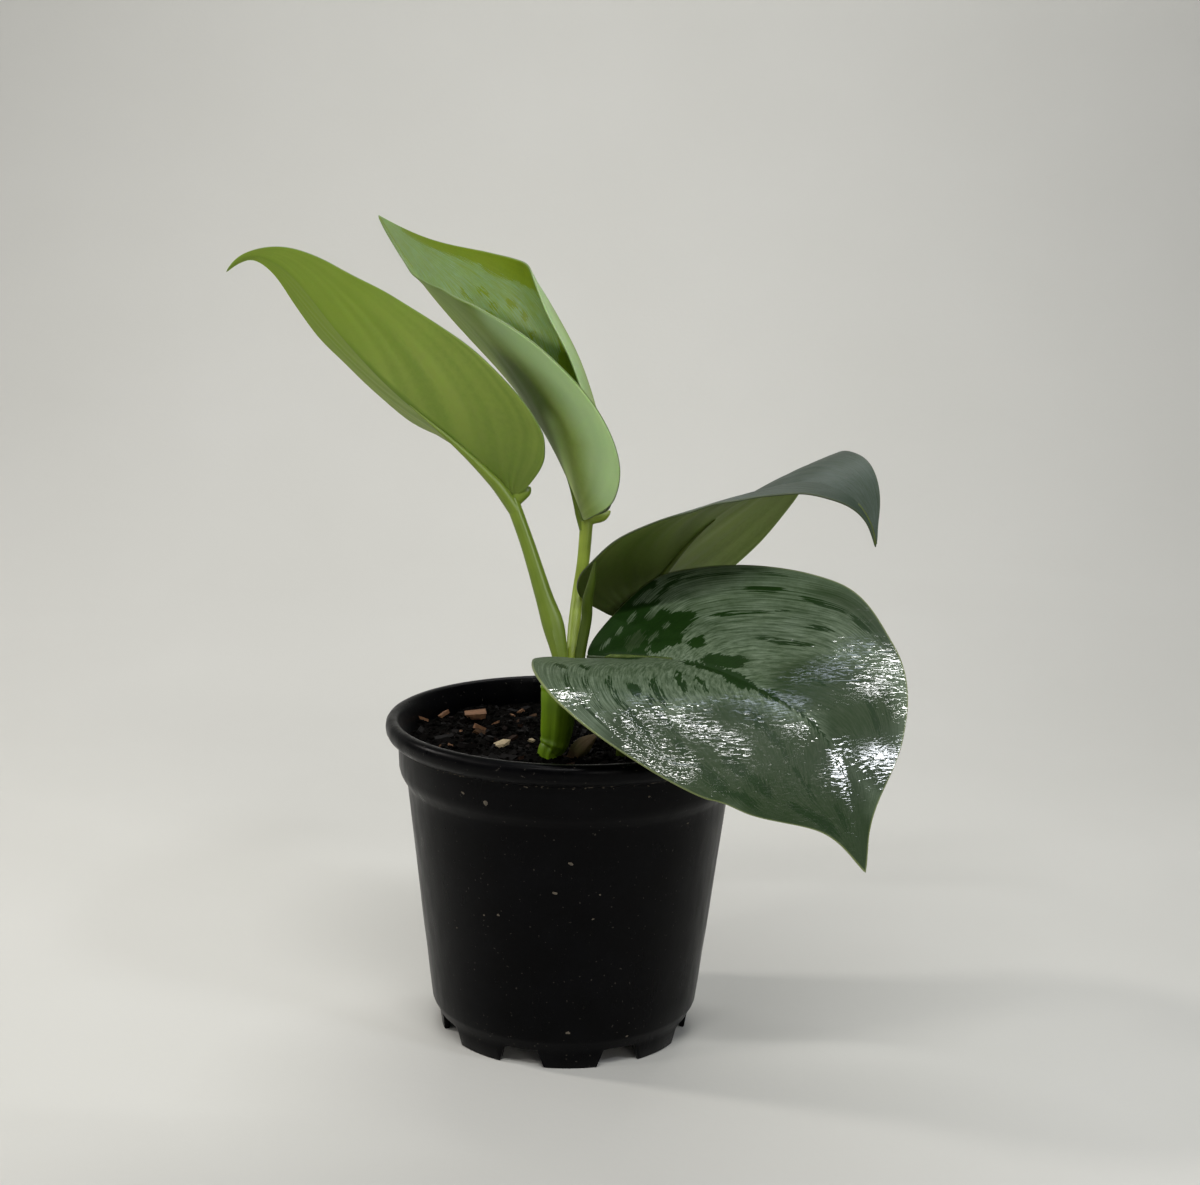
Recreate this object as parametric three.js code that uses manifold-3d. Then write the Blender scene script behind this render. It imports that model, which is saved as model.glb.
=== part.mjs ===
// A satin pothos (Scindapsus pictus) in a round nursery pot: a thin moulded pot full of soil, one short stem
// that carries three leaf stalks, and a fourth stalk that rises from the soil on its own.
// Millimetres, +Z up. The pieces are modelled about the pot's axis, with the ground at z = 0.
import * as THREE from "three";
import { mergeVertices } from "three/addons/utils/BufferGeometryUtils.js";
import Module from "manifold-3d";

const wasm = await Module();
wasm.setup();

// ---------------------------------------------------------------- driving dimensions
const gap = 0.3; // clearance between neighbouring pieces

const potHeight = 92;
const rimRadius = 52.5;
const lipHeight = 6.5;
const wall = 1.4;
const footInset = 6.3; // the floor stands this far above the ground
const floorThickness = 1.4;
const roundSides = 48; // of the pot and of the soil in it

const notchCount = 8;
const notchHeight = 5.5;
const notchWidth = 13;
const firstNotch = 251; // degrees from +X

const soilLevel = 84;
const lumpHeight = 0.9;
const barkChips = 44;
const perliteGrains = 12;

const bladeThickness = 0.8;
const bladeRows = 26;
const bladeHalfColumns = 7;
const stalkSides = 10;

// ---------------------------------------------------------------- materials
const plastic = new THREE.MeshStandardMaterial({ color: 0x1b1c1e, roughness: 0.45, metalness: 0 });
const pottingMix = new THREE.MeshStandardMaterial({ color: 0x1d1612, roughness: 1, metalness: 0 });
const stalkGreen = new THREE.MeshStandardMaterial({ color: 0x6d8a22, roughness: 0.5, metalness: 0 });
const stemGreen = new THREE.MeshStandardMaterial({ color: 0x4f7a12, roughness: 0.5, metalness: 0 });
const dryTan = new THREE.MeshStandardMaterial({ color: 0x8a6a4c, roughness: 0.8, metalness: 0 });
const leafSatin = new THREE.MeshStandardMaterial({ color: 0x5f7a66, roughness: 0.4, metalness: 0 });

// ---------------------------------------------------------------- helpers
// A closed indexed mesh: shared corners are merged and triangles that collapsed at a pole are dropped.
function closedMesh(geometry) {
  const bare = geometry.clone();
  bare.deleteAttribute("normal");
  bare.deleteAttribute("uv");
  const merged = mergeVertices(bare, 1e-4);
  const index = merged.index.array;
  const kept = [];
  for (let i = 0; i < index.length; i += 3) {
    const [a, b, c] = [index[i], index[i + 1], index[i + 2]];
    if (a !== b && b !== c && c !== a) kept.push(a, b, c);
  }
  merged.setIndex(kept);
  return merged;
}

function solidOf(geometry) {
  const mesh = closedMesh(geometry);
  const vertProperties = new Float32Array(mesh.attributes.position.array);
  const triVerts = new Uint32Array(mesh.index.array);
  return new wasm.Manifold(new wasm.Mesh({ numProp: 3, vertProperties, triVerts }));
}

function geometryOf(solid) {
  const { vertProperties, triVerts } = solid.getMesh();
  return geometryFrom(Array.from(vertProperties), Array.from(triVerts));
}

function geometryFrom(coordinates, index) {
  const geometry = new THREE.BufferGeometry();
  geometry.setAttribute("position", new THREE.Float32BufferAttribute(coordinates, 3));
  geometry.setIndex(index);
  geometry.computeVertexNormals();
  return geometry;
}

// What is left of a solid once its neighbours are cut out of it, without loose scraps.
function clearOf(solid, ...neighbours) {
  const rest = neighbours.reduce((whole, neighbour) => whole.subtract(neighbour), solid);
  return rest.decompose().sort((a, b) => b.volume() - a.volume())[0];
}

// Smooth value at u = 0..1 through evenly spaced values (Catmull-Rom, straight at both ends).
function spline(values, u) {
  const last = values.length - 1;
  const place = THREE.MathUtils.clamp(u, 0, 1) * last;
  const i = Math.min(Math.floor(place), last - 1);
  const f = place - i;
  const [b, c] = [values[i], values[i + 1]];
  const a = i > 0 ? values[i - 1] : 2 * b - c;
  const d = i + 2 <= last ? values[i + 2] : 2 * c - b;
  return 0.5 * (2 * b + (c - a) * f + (2 * a - 5 * b + 4 * c - d) * f * f + (3 * b - a - 3 * c + d) * f ** 3);
}

// The same random numbers on every run, 0..1.
function seededRandom(seed) {
  let state = seed;
  return () => {
    state = (state + 0x6d2b79f5) | 0;
    let t = Math.imul(state ^ (state >>> 15), 1 | state);
    t = (t + Math.imul(t ^ (t >>> 7), 61 | t)) ^ t;
    return ((t ^ (t >>> 14)) >>> 0) / 4294967296;
  };
}

function turnedAboutZ(profile) {
  const lathe = new THREE.LatheGeometry(profile, roundSides);
  lathe.rotateX(Math.PI / 2);
  return lathe;
}

// ---------------------------------------------------------------- pot
// Outside of the pot from the ground up to the lip: [height, radius].
const potOutside = [
  [0, 35.7],
  [4.4, 36.4],
  [6.4, 37],
  [9.2, 38.5],
  [41.6, 42.5],
  [69.4, 45.8],
  [73, 46.2],
  [75.8, 47.9],
  [78, 48.6],
  [84, 48.9],
];

function outsideRadius(height) {
  const above = Math.max(1, potOutside.findIndex(([h]) => h >= height));
  const [[h0, r0], [h1, r1]] = [potOutside[above - 1], potOutside[above]];
  return THREE.MathUtils.lerp(r0, r1, (height - h0) / (h1 - h0));
}

// Inner wall above the floor, from the top down, moved in from the outside by the wall's thickness.
function insideProfile(clearance) {
  const floorTop = footInset + floorThickness;
  const inset = wall + clearance;
  const stations = potOutside.filter(([height]) => height > floorTop + clearance).reverse();
  const wallPoints = stations.map(([height, radius]) => new THREE.Vector2(radius - inset, height));
  wallPoints.push(new THREE.Vector2(outsideRadius(floorTop) - inset, floorTop + clearance));
  return wallPoints;
}

function makePot() {
  const lipBase = potHeight - lipHeight;
  const lip = new THREE.Path();
  lip.moveTo(potOutside.at(-1)[1] + 0.5, lipBase);
  lip.quadraticCurveTo(rimRadius - 0.2, lipBase + 1.2, rimRadius, potHeight - 2.6);
  lip.quadraticCurveTo(rimRadius, potHeight, rimRadius - 1.9, potHeight);
  lip.quadraticCurveTo(rimRadius - 3.4, potHeight, rimRadius - 3.8, potHeight - 2);
  const profile = [
    new THREE.Vector2(0, footInset),
    new THREE.Vector2(potOutside[0][1] - wall, footInset),
    new THREE.Vector2(potOutside[0][1] - wall, 0),
    ...potOutside.map(([height, radius]) => new THREE.Vector2(radius, height)),
    ...lip.getPoints(3),
    ...insideProfile(0),
    new THREE.Vector2(0, footInset + floorThickness),
  ];
  const notchRadius = potOutside[0][1];
  let pot = solidOf(turnedAboutZ(profile));
  for (let i = 0; i < notchCount; i += 1) {
    const notch = new THREE.BoxGeometry(3 * wall + 3, notchWidth, notchHeight + 1);
    notch.translate(notchRadius, 0, (notchHeight - 1) / 2);
    notch.rotateZ(THREE.MathUtils.degToRad(firstNotch + (i * 360) / notchCount));
    pot = pot.subtract(solidOf(notch));
  }
  return pot;
}

// ---------------------------------------------------------------- shoots
// A tapering round shoot through stations [x, y, z, width, depth]: width is measured along widthAxis.
// growth makes it larger all round, for the plain hole that it leaves in a neighbour.
function shoot(stations, growth = 0, widthAxis = new THREE.Vector3(1, 0, 0)) {
  const route = new THREE.CatmullRomCurve3(stations.map(([x, y, z]) => new THREE.Vector3(x, y, z)));
  const widths = stations.map((station) => station[3]);
  const depths = stations.map((station) => station[4]);
  const rings = 2 * (stations.length - 1);
  const coordinates = [];
  for (let i = 0; i <= rings; i += 1) {
    const t = i / rings;
    const tangent = route.getTangent(t);
    const centre = route.getPoint(t);
    if (i === 0) centre.addScaledVector(tangent, -growth);
    if (i === rings) centre.addScaledVector(tangent, growth);
    const depthways = new THREE.Vector3().crossVectors(tangent, widthAxis).normalize();
    const widthways = new THREE.Vector3().crossVectors(depthways, tangent);
    for (let j = 0; j < stalkSides; j += 1) {
      const angle = (j / stalkSides) * 2 * Math.PI;
      const point = centre
        .clone()
        .addScaledVector(widthways, (spline(widths, t) / 2 + growth) * Math.cos(angle))
        .addScaledVector(depthways, (spline(depths, t) / 2 + growth) * Math.sin(angle));
      coordinates.push(...point.toArray());
    }
    if (i === 0 || i === rings) coordinates.push(...centre.toArray());
  }
  return geometryFrom(coordinates, shootTriangles(rings));
}

// Ring 0 is followed by its centre, and so is the last ring.
function shootTriangles(rings) {
  const first = (i) => (i === 0 ? 0 : i * stalkSides + 1);
  const index = [];
  for (let j = 0; j < stalkSides; j += 1) {
    const next = (j + 1) % stalkSides;
    index.push(stalkSides, next, j);
    index.push(first(rings) + stalkSides, first(rings) + j, first(rings) + next);
    for (let i = 0; i < rings; i += 1) {
      const [low, high] = [first(i), first(i + 1)];
      index.push(low + j, low + next, high + next);
      index.push(low + j, high + next, high + j);
    }
  }
  return index;
}

const mainStem = [
  [-5.6, -14.6, 68, 5, 4.6],
  [-5.7, -14.5, 83.9, 6.3, 5.6],
  [-4.3, -14.5, 87.4, 7, 6.2],
  [-3.6, -14.5, 91, 8.9, 7],
  [-3.2, -14.5, 97, 9.6, 7.6],
  [-3, -14.4, 104, 10, 7.8],
  [-2.4, -14.2, 108.3, 8.6, 6.8],
];
const petioleLeft = [
  [-2.4, -14.4, 107.2, 4.2, 4.2],
  [-3.1, -14.2, 113.2, 4.4, 4.4],
  [-5.1, -13.5, 121.6, 6, 4.6],
  [-7.9, -12.5, 129.8, 4.9, 4.2],
  [-12.5, -10.3, 143.4, 4, 3.8],
  [-17.3, -8.2, 155.8, 3.9, 3.6],
];
const petioleCentre = [
  [0.3, -12.6, 107.2, 3, 3],
  [0.3, -12, 112.8, 3.3, 3.2],
  [0.9, -6.2, 121.5, 3.4, 3.2],
  [1.8, -1.8, 129.4, 3.3, 3.2],
  [3, -0.8, 137.8, 3.5, 3.3],
  [3.7, 0.7, 148.6, 3.7, 3.4],
];
const petioleBack = [
  [-1.5, -13, 96.5, 3.4, 3.4],
  [3.5, -9.5, 101, 3.4, 3.4],
  [9, -3, 108.5, 3.3, 3.3],
  [13.6, 3, 115, 3.2, 3.2],
  [16.2, 5.8, 119.2, 3.4, 3.2],
];
const petioleFront = [
  [15, -14.4, 68, 3.4, 3.4],
  [15, -14.5, 84, 3.8, 3.8],
  [16.2, -17.4, 94, 3.6, 3.6],
  [18.6, -22, 105, 3.5, 3.4],
  [21.5, -26.8, 115.2, 3.8, 3.4],
];
const leafSheath = [
  [2.5, -14.8, 107.2, 3, 2],
  [2.6, -15, 113.5, 3, 2],
  [4.1, -16.4, 123.8, 3, 1.8],
  [4.3, -18.2, 129.6, 2.9, 1.5],
  [5.4, -20.4, 135.7, 2, 1.2],
  [6.1, -22.3, 141, 0.8, 0.8],
];
const drySheath = [
  [0.8, -14.6, 78, 2.6, 1.2],
  [1.4, -14.6, 84, 4, 1.6],
  [4, -14.8, 87.5, 5, 1.6],
  [7.4, -15, 90.5, 1.4, 0.9],
];

// The thick knob where a stalk meets its blade, as a short shoot that leaves the stalk sideways.
const knobLeft = [
  [-16.4, -8, 156.2, 4, 3],
  [-14, -8, 157.6, 3.6, 2.8],
  [-12, -8, 158.9, 2.2, 1.8],
];
const knobCentre = [
  [3.4, 0.9, 148.9, 3.2, 3],
  [7, 0.9, 150.2, 3.6, 2.8],
  [10.7, 0.9, 150.8, 3, 2],
];
const upright = new THREE.Vector3(0, 0, 1);

// ---------------------------------------------------------------- leaf blades
// Each blade is a sheet along a midrib. azimuths and elevations are the midrib's heading, rolls turns the
// sheet about it, and foldLeft, foldRight, curlLeft and curlRight are how far each half rises from the midrib
// and bends on its way to the margin (degrees, from base to tip). The outlines hold the margin of each half as
// [along the midrib, away from it]; lobes that reach back past the stalk have a negative first number.
const blades = {
  leaf_left: {
    base: [-17, -8, 156],
    azimuths: [184, 150, 140],
    elevations: [49, 36, 40, 35, -40],
    rolls: [48, 71, 77, 70],
    foldLeft: [13, 14, -2],
    foldRight: [49, 30, -9],
    curlLeft: [-6, 9, 18],
    curlRight: [24, 14, -1],
    marginLeft: [[0.5, 8], [4, 17], [13.5, 22.5], [36.5, 24], [61.5, 19.5], [83.5, 12], [103.5, 3]],
    marginRight: [[-2, 8.5], [0, 17], [10.5, 22.5], [35.5, 23.5], [62.5, 18.5], [85.5, 11.5], [105.5, 2]],
    length: 121,
    halfWidth: 25,
    lobeReach: 4,
    spread: 1.3,
  },
  leaf_centre: {
    base: [3, 1, 149.5],
    azimuths: [134, 137, 148],
    elevations: [61, 46, 34, 41, 54],
    rolls: [-13, 12, 25, -14],
    foldLeft: [51, 17, 17],
    foldRight: [66, 41, 28],
    curlLeft: [90, 9, -20],
    curlRight: [110, 128, 92],
    marginLeft: [[-3, 12], [-2, 24.5], [10.5, 33.5], [38, 37], [62, 30], [83, 17.5], [101.5, 4]],
    marginRight: [[-1.5, 10.5], [2, 20.5], [16, 31], [45.5, 38], [67.5, 33.5], [88, 22.5], [105.5, 9]],
    length: 119,
    halfWidth: 34,
    lobeReach: 5,
    spread: 1.3,
  },
  leaf_back: {
    base: [16, 6, 119.5],
    azimuths: [-6, -27, -37],
    elevations: [58, 51, 30, -5, -84],
    rolls: [-43, -24, 0, 19],
    foldLeft: [33, 14, 27],
    foldRight: [36, 0, 4],
    curlLeft: [-23, -31, -15],
    curlRight: [-52, -14, 36],
    marginLeft: [[-3.5, 12], [-4, 25.5], [9, 36], [39, 38.5], [61, 32], [77.5, 17], [92, 3.5]],
    marginRight: [[-1, 8], [2, 22.5], [14.5, 33.5], [41.5, 37.5], [59, 30.5], [73.5, 17], [87.5, 3.5]],
    length: 100,
    halfWidth: 40,
    lobeReach: 16,
    spread: 1.3,
  },
  leaf_front: {
    base: [22, -27.5, 116],
    azimuths: [-35, -44, -34],
    elevations: [7, -9, -19, -67, -75],
    rolls: [18, 15, 18, 32],
    foldLeft: [21, 3, -2],
    foldRight: [29, -1, -14],
    curlLeft: [-6, 24, 32],
    curlRight: [-3, -39, -13],
    marginLeft: [[-20, -2], [-20.5, 16], [-9, 34.5], [28, 44], [51, 34], [66.5, 20], [81.5, 6]],
    marginRight: [[-15.5, 11], [-21, 25.5], [-3, 41], [27, 38.5], [53, 34], [72, 27.5], [83.5, 8.5]],
    length: 95.5,
    halfWidth: 44,
    lobeReach: 24,
    spread: 1.35,
  },
};

function heading(blade, u) {
  const azimuth = THREE.MathUtils.degToRad(spline(blade.azimuths, u));
  const elevation = THREE.MathUtils.degToRad(spline(blade.elevations, u));
  const along = new THREE.Vector3(
    Math.cos(elevation) * Math.cos(azimuth),
    Math.cos(elevation) * Math.sin(azimuth),
    Math.sin(elevation),
  );
  const right = new THREE.Vector3(Math.sin(azimuth), -Math.cos(azimuth), 0);
  return { along, right };
}

function midribOf(blade) {
  const steps = 120;
  const points = [new THREE.Vector3(...blade.base)];
  for (let i = 0; i < steps; i += 1) {
    const here = heading(blade, i / steps).along;
    const ahead = heading(blade, (i + 1) / steps).along;
    points.push(points[i].clone().addScaledVector(here.add(ahead), blade.length / steps / 2));
  }
  return points;
}

// The point of the sheet at x along the midrib and y away from it, right half positive.
function sheetPoint(blade, midrib, x, y) {
  const u = THREE.MathUtils.clamp(x / blade.length, 0, 1);
  const place = u * (midrib.length - 1);
  const i = Math.min(Math.floor(place), midrib.length - 2);
  const point = midrib[i].clone().lerp(midrib[i + 1], place - i);
  const { along, right } = heading(blade, u);
  point.addScaledVector(along, Math.min(x, 0));

  const v = (x + blade.lobeReach) / (blade.length + blade.lobeReach);
  const roll = THREE.MathUtils.degToRad(spline(blade.rolls, v));
  const up = new THREE.Vector3().crossVectors(right, along);
  const across = right.clone().multiplyScalar(Math.cos(roll)).addScaledVector(up, -Math.sin(roll));
  const normal = up.clone().multiplyScalar(Math.cos(roll)).addScaledVector(right, Math.sin(roll));

  const onRight = y >= 0;
  const fold = THREE.MathUtils.degToRad(spline(onRight ? blade.foldRight : blade.foldLeft, v));
  const curl = THREE.MathUtils.degToRad(spline(onRight ? blade.curlRight : blade.curlLeft, v));
  const bend = Math.abs(curl) < 1e-4 ? 1e-4 : curl;
  const radius = blade.halfWidth / bend;
  const turned = fold + Math.abs(y) / radius;
  point.addScaledVector(across, Math.sign(y) * radius * (Math.sin(turned) - Math.sin(fold)));
  return point.addScaledVector(normal, radius * (Math.cos(fold) - Math.cos(turned)));
}

// Grid of the sheet, rows from base to tip and columns from the left margin to the right one.
function sheetGrid(blade) {
  const midrib = midribOf(blade);
  const outlines = [blade.marginLeft, blade.marginRight].map((margin) => {
    const points = [[0, 0], ...margin, [blade.length, 0]];
    return { along: points.map(([a]) => a), away: points.map(([, b]) => b) };
  });
  const grid = [];
  for (let i = 0; i <= bladeRows; i += 1) {
    const t = i / bladeRows;
    const ribPlace = blade.length * t ** blade.spread;
    const row = [];
    for (let j = -bladeHalfColumns; j <= bladeHalfColumns; j += 1) {
      const side = j < 0 ? outlines[0] : outlines[1];
      const share = Math.abs(j) / bladeHalfColumns;
      const x = THREE.MathUtils.lerp(ribPlace, spline(side.along, t), share);
      row.push(sheetPoint(blade, midrib, x, Math.sign(j) * share * spline(side.away, t)));
    }
    grid.push(row);
  }
  return grid;
}

// Each cell is split along the same diagonal on both faces, so that the faces never cross.
function sheetTriangles(vertexAt) {
  const index = [];
  for (let i = 0; i < bladeRows; i += 1) {
    for (let j = 0; j < 2 * bladeHalfColumns; j += 1) {
      const [p, q, r, s] = [vertexAt(i, j), vertexAt(i, j + 1), vertexAt(i + 1, j + 1), vertexAt(i + 1, j)];
      if (j < bladeHalfColumns) index.push(p, q, s, q, r, s);
      else index.push(p, q, r, p, r, s);
    }
  }
  return index;
}

function bladeGeometry(blade, thickness) {
  const grid = sheetGrid(blade);
  const columns = 2 * bladeHalfColumns + 1;
  const vertexAt = (i, j) => i * columns + (i === 0 || i === bladeRows ? 0 : j);
  const faces = sheetTriangles(vertexAt);
  const sheet = geometryFrom(grid.flat().flatMap((point) => point.toArray()), faces);
  const normals = sheet.attributes.normal;
  const coordinates = [];
  for (const side of [0.5, -0.5]) {
    grid.flat().forEach((point, k) => {
      const normal = new THREE.Vector3().fromBufferAttribute(normals, k);
      coordinates.push(...point.clone().addScaledVector(normal, side * thickness).toArray());
    });
  }
  const under = columns * (bladeRows + 1);
  const index = [...faces];
  for (let k = 0; k < faces.length; k += 3) {
    index.push(faces[k] + under, faces[k + 2] + under, faces[k + 1] + under);
  }
  for (let i = 0; i < bladeRows; i += 1) {
    const [left, leftNext] = [vertexAt(i, 0), vertexAt(i + 1, 0)];
    const [right, rightNext] = [vertexAt(i, columns - 1), vertexAt(i + 1, columns - 1)];
    index.push(right, right + under, rightNext + under, right, rightNext + under, rightNext);
    index.push(left, leftNext + under, left + under, left, leftNext, leftNext + under);
  }
  return closedMesh(geometryFrom(coordinates, index));
}

// ---------------------------------------------------------------- soil
function groundHeight(x, y) {
  const broad = Math.sin(0.21 * x + 1.3) * Math.cos(0.17 * y);
  const fine = 0.6 * Math.sin(0.47 * x + 0.39 * y) * Math.sin(0.33 * y - 0.52 * x + 2);
  return soilLevel + lumpHeight * (broad + fine);
}

function soilBed() {
  const sideWall = insideProfile(gap).reverse();
  const edge = sideWall.at(-1).x;
  const ringCount = 8;
  const profile = [new THREE.Vector2(0, sideWall[0].y), ...sideWall];
  for (let i = 1; i <= ringCount; i += 1) {
    profile.push(new THREE.Vector2(edge * (1 - i / ringCount), soilLevel));
  }
  const bed = closedMesh(turnedAboutZ(profile));
  const position = bed.attributes.position;
  for (let k = 0; k < position.count; k += 1) {
    const [x, y, z] = [position.getX(k), position.getY(k), position.getZ(k)];
    if (z > soilLevel - 1e-3) position.setZ(k, groundHeight(x, y) - (Math.hypot(x, y) > edge - 1 ? 1 : 0));
  }
  return solidOf(bed);
}

// A broken chip of bark, or a rounder grain of perlite: a box with its corners pushed about.
function crumb(random, size, flatness) {
  const box = new THREE.BoxGeometry(size, size * (0.5 + 0.4 * random()), size * flatness);
  const shape = closedMesh(box);
  const position = shape.attributes.position;
  for (let k = 0; k < position.count; k += 1) {
    const push = 0.7 + 0.5 * random();
    position.setXYZ(k, position.getX(k) * push, position.getY(k) * push, position.getZ(k) * push);
  }
  const turn = new THREE.Euler(0.9 * (random() - 0.5), 0.9 * (random() - 0.5), 2 * Math.PI * random());
  return shape.applyMatrix4(new THREE.Matrix4().makeRotationFromEuler(turn));
}

function scatter(count, seed, smallest, largest, flatness) {
  const random = seededRandom(seed);
  const reach = insideProfile(gap)[0].x - largest;
  const roots = [mainStem, petioleFront, drySheath].map((stations) => stations[1]);
  const crumbs = [];
  while (crumbs.length < count) {
    const angle = 2 * Math.PI * random();
    const radius = reach * Math.sqrt(random());
    const [x, y] = [radius * Math.cos(angle), radius * Math.sin(angle)];
    const size = THREE.MathUtils.lerp(smallest, largest, random() ** 2);
    const shape = crumb(random, size, flatness);
    shape.translate(x, y, groundHeight(x, y));
    if (roots.every((root) => Math.hypot(root[0] - x, root[1] - y) > size + root[3] / 2)) {
      crumbs.push(solidOf(shape));
    }
  }
  return crumbs;
}

function makeSoil() {
  const bark = scatter(barkChips, 11, 3, 7, 0.45);
  const perlite = scatter(perliteGrains, 5, 2.2, 4, 0.8);
  const filled = [...bark, ...perlite].reduce((bed, piece) => bed.add(piece), soilBed());
  const holes = [mainStem, petioleFront, drySheath].map((stations) => solidOf(shoot(stations, gap)));
  return clearOf(filled, ...holes);
}

// ---------------------------------------------------------------- assembly
const plant = new THREE.Group();

function place(name, solid, material) {
  const mesh = new THREE.Mesh(geometryOf(solid), material);
  mesh.name = name;
  plant.add(mesh);
}

function leafStalk(stations, knob, growth = 0) {
  const stalk = solidOf(shoot(stations, growth));
  return knob ? stalk.add(solidOf(shoot(knob, growth, upright))) : stalk;
}

const stem = solidOf(shoot(mainStem));
const widerStem = solidOf(shoot(mainStem, gap));
const stalks = {
  left: [petioleLeft, knobLeft],
  centre: [petioleCentre, knobCentre],
  back: [petioleBack],
  front: [petioleFront],
};

place("pot", makePot(), plastic);
place("soil", makeSoil(), pottingMix);
place("main_stem", stem, stemGreen);
place("dry_sheath", clearOf(solidOf(shoot(drySheath)), widerStem), dryTan);

// Each stalk ends against the main stem and against the stalks before it, and its blade ends against it.
const before = [widerStem];
for (const [side, [stations, knob]] of Object.entries(stalks)) {
  const widerStalk = leafStalk(stations, knob, gap);
  const blade = solidOf(bladeGeometry(blades[`leaf_${side}`], bladeThickness));
  place(`petiole_${side}`, clearOf(leafStalk(stations, knob), ...before), stalkGreen);
  place(`leaf_${side}`, clearOf(blade, widerStalk), leafSatin);
  before.push(widerStalk);
}
place("leaf_sheath", clearOf(solidOf(shoot(leafSheath)), ...before), stalkGreen);

// The part's origin lies under the middle of its bounding box, on the ground.
const box = new THREE.Box3().setFromObject(plant);
const middle = box.getCenter(new THREE.Vector3());
plant.position.set(-middle.x, -middle.y, -box.min.z);

export default plant;
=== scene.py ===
"""A young satin pothos in a round black nursery pot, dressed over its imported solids."""
import math

import bpy
import numpy as np
from mathutils import Matrix, Vector


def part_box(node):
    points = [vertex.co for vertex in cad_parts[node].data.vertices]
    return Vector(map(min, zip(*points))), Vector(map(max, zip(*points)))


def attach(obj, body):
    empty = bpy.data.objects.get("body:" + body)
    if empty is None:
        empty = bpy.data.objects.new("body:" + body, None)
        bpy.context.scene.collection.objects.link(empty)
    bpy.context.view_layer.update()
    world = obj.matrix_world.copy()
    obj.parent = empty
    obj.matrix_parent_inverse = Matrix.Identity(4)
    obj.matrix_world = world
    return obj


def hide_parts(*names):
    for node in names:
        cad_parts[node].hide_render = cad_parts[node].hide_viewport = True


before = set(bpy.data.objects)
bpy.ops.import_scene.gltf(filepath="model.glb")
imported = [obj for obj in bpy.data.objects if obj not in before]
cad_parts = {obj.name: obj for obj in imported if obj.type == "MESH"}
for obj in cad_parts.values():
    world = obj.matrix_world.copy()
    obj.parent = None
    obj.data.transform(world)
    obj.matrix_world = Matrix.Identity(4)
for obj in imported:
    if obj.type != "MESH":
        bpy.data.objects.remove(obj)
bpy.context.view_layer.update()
bpy.ops.object.select_all(action="DESELECT")

# -------- camera
# The camera stands a little over half a metre in front of the pot and looks down on it by eleven
# degrees. Places are given in millimetres from the pot's axis, where it meets the ground.
pot_low, pot_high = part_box("pot")
pot_axis = np.array([(pot_low.x + pot_high.x) / 2, (pot_low.y + pot_high.y) / 2, 0])


def in_frame(points):
    """Points in millimetres from the foot of the pot's axis, as metres in the row frame."""
    return np.asarray(points, float) / 1000 + pot_axis


camera_place = (0, -566, 239)
pitch, yaw, roll = 0.193, 0.014, 0.023
ahead = Vector((math.sin(yaw) * math.cos(pitch), math.cos(yaw) * math.cos(pitch), -math.sin(pitch)))
level = ahead.cross(Vector((0, 0, 1))).normalized()
above = level.cross(ahead)
right = level * math.cos(roll) + above * math.sin(roll)
up = above * math.cos(roll) - level * math.sin(roll)
lens = bpy.data.cameras.new("camera")
lens.sensor_width = 36
lens.lens = 61.02
camera = bpy.data.objects.new("camera", lens)
bpy.context.scene.collection.objects.link(camera)
turned_to = Matrix((right, up, -ahead)).transposed().to_4x4()
camera.matrix_world = Matrix.Translation(in_frame(camera_place)) @ turned_to
bpy.context.scene.camera = camera
bpy.context.scene.view_settings.view_transform = "Standard"

# -------- paper sweep and lights
# A wide sheet of warm grey paper lies on the table and curves up behind the plant. It is matt, with a
# very faint cloudiness. As in a light box, two thin strips hang over it, with small lamps at its sides.
floor_front, floor_back, sweep_radius, wall_height = -1.4, 0.3, 0.5, 0.9
half_width = 1.7


def linear(colour):
    """An sRGB hex colour as linear red, green, blue and alpha."""
    parts = [int(colour[i : i + 2], 16) / 255 for i in (1, 3, 5)]
    return (*(p / 12.92 if p <= 0.04045 else ((p + 0.055) / 1.055) ** 2.4 for p in parts), 1.0)


def feed(made, values):
    """Fills a node's inputs. A value is what the input holds, an sRGB hex colour, or the node or output that
    is linked to it. A node is linked by its first output in use."""
    for name, value in values.items():
        if isinstance(value, bpy.types.Node):
            value = next(output for output in value.outputs if output.enabled)
        if isinstance(value, bpy.types.NodeSocket):
            made.id_data.links.new(value, made.inputs[name])
        else:
            made.inputs[name].default_value = linear(value) if isinstance(value, str) else value


def node(tree, kind, values=None, **settings):
    """Adds a node with its settings and fills its inputs."""
    made = tree.nodes.new("ShaderNode" + kind)
    for name, value in settings.items():
        setattr(made, name, value)
    feed(made, values or {})
    return made


def new_material(name):
    """A material, its node tree, and the shader that makes its surface."""
    material = bpy.data.materials.new(name)
    material.use_nodes = True
    tree = material.node_tree
    tree.nodes.clear()
    shader = node(tree, "BsdfPrincipled")
    node(tree, "OutputMaterial", {"Surface": shader})
    return material, tree, shader


def new_mesh_object(name):
    """Names the object that the last operator made, and its mesh."""
    made = bpy.context.object
    made.name = name
    made.data.name = name
    return made


def vertices_of(piece):
    places = np.empty(3 * len(piece.data.vertices))
    piece.data.vertices.foreach_get("co", places)
    return places.reshape(-1, 3)


def move_vertices(piece, places):
    piece.data.vertices.foreach_set("co", np.asarray(places, float).ravel())
    piece.data.update()


def select(first, others=()):
    """Selects these objects alone, with the first one active."""
    bpy.ops.object.select_all(action="DESELECT")
    for piece in (first, *others):
        piece.select_set(True)
    bpy.context.view_layer.objects.active = first


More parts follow.
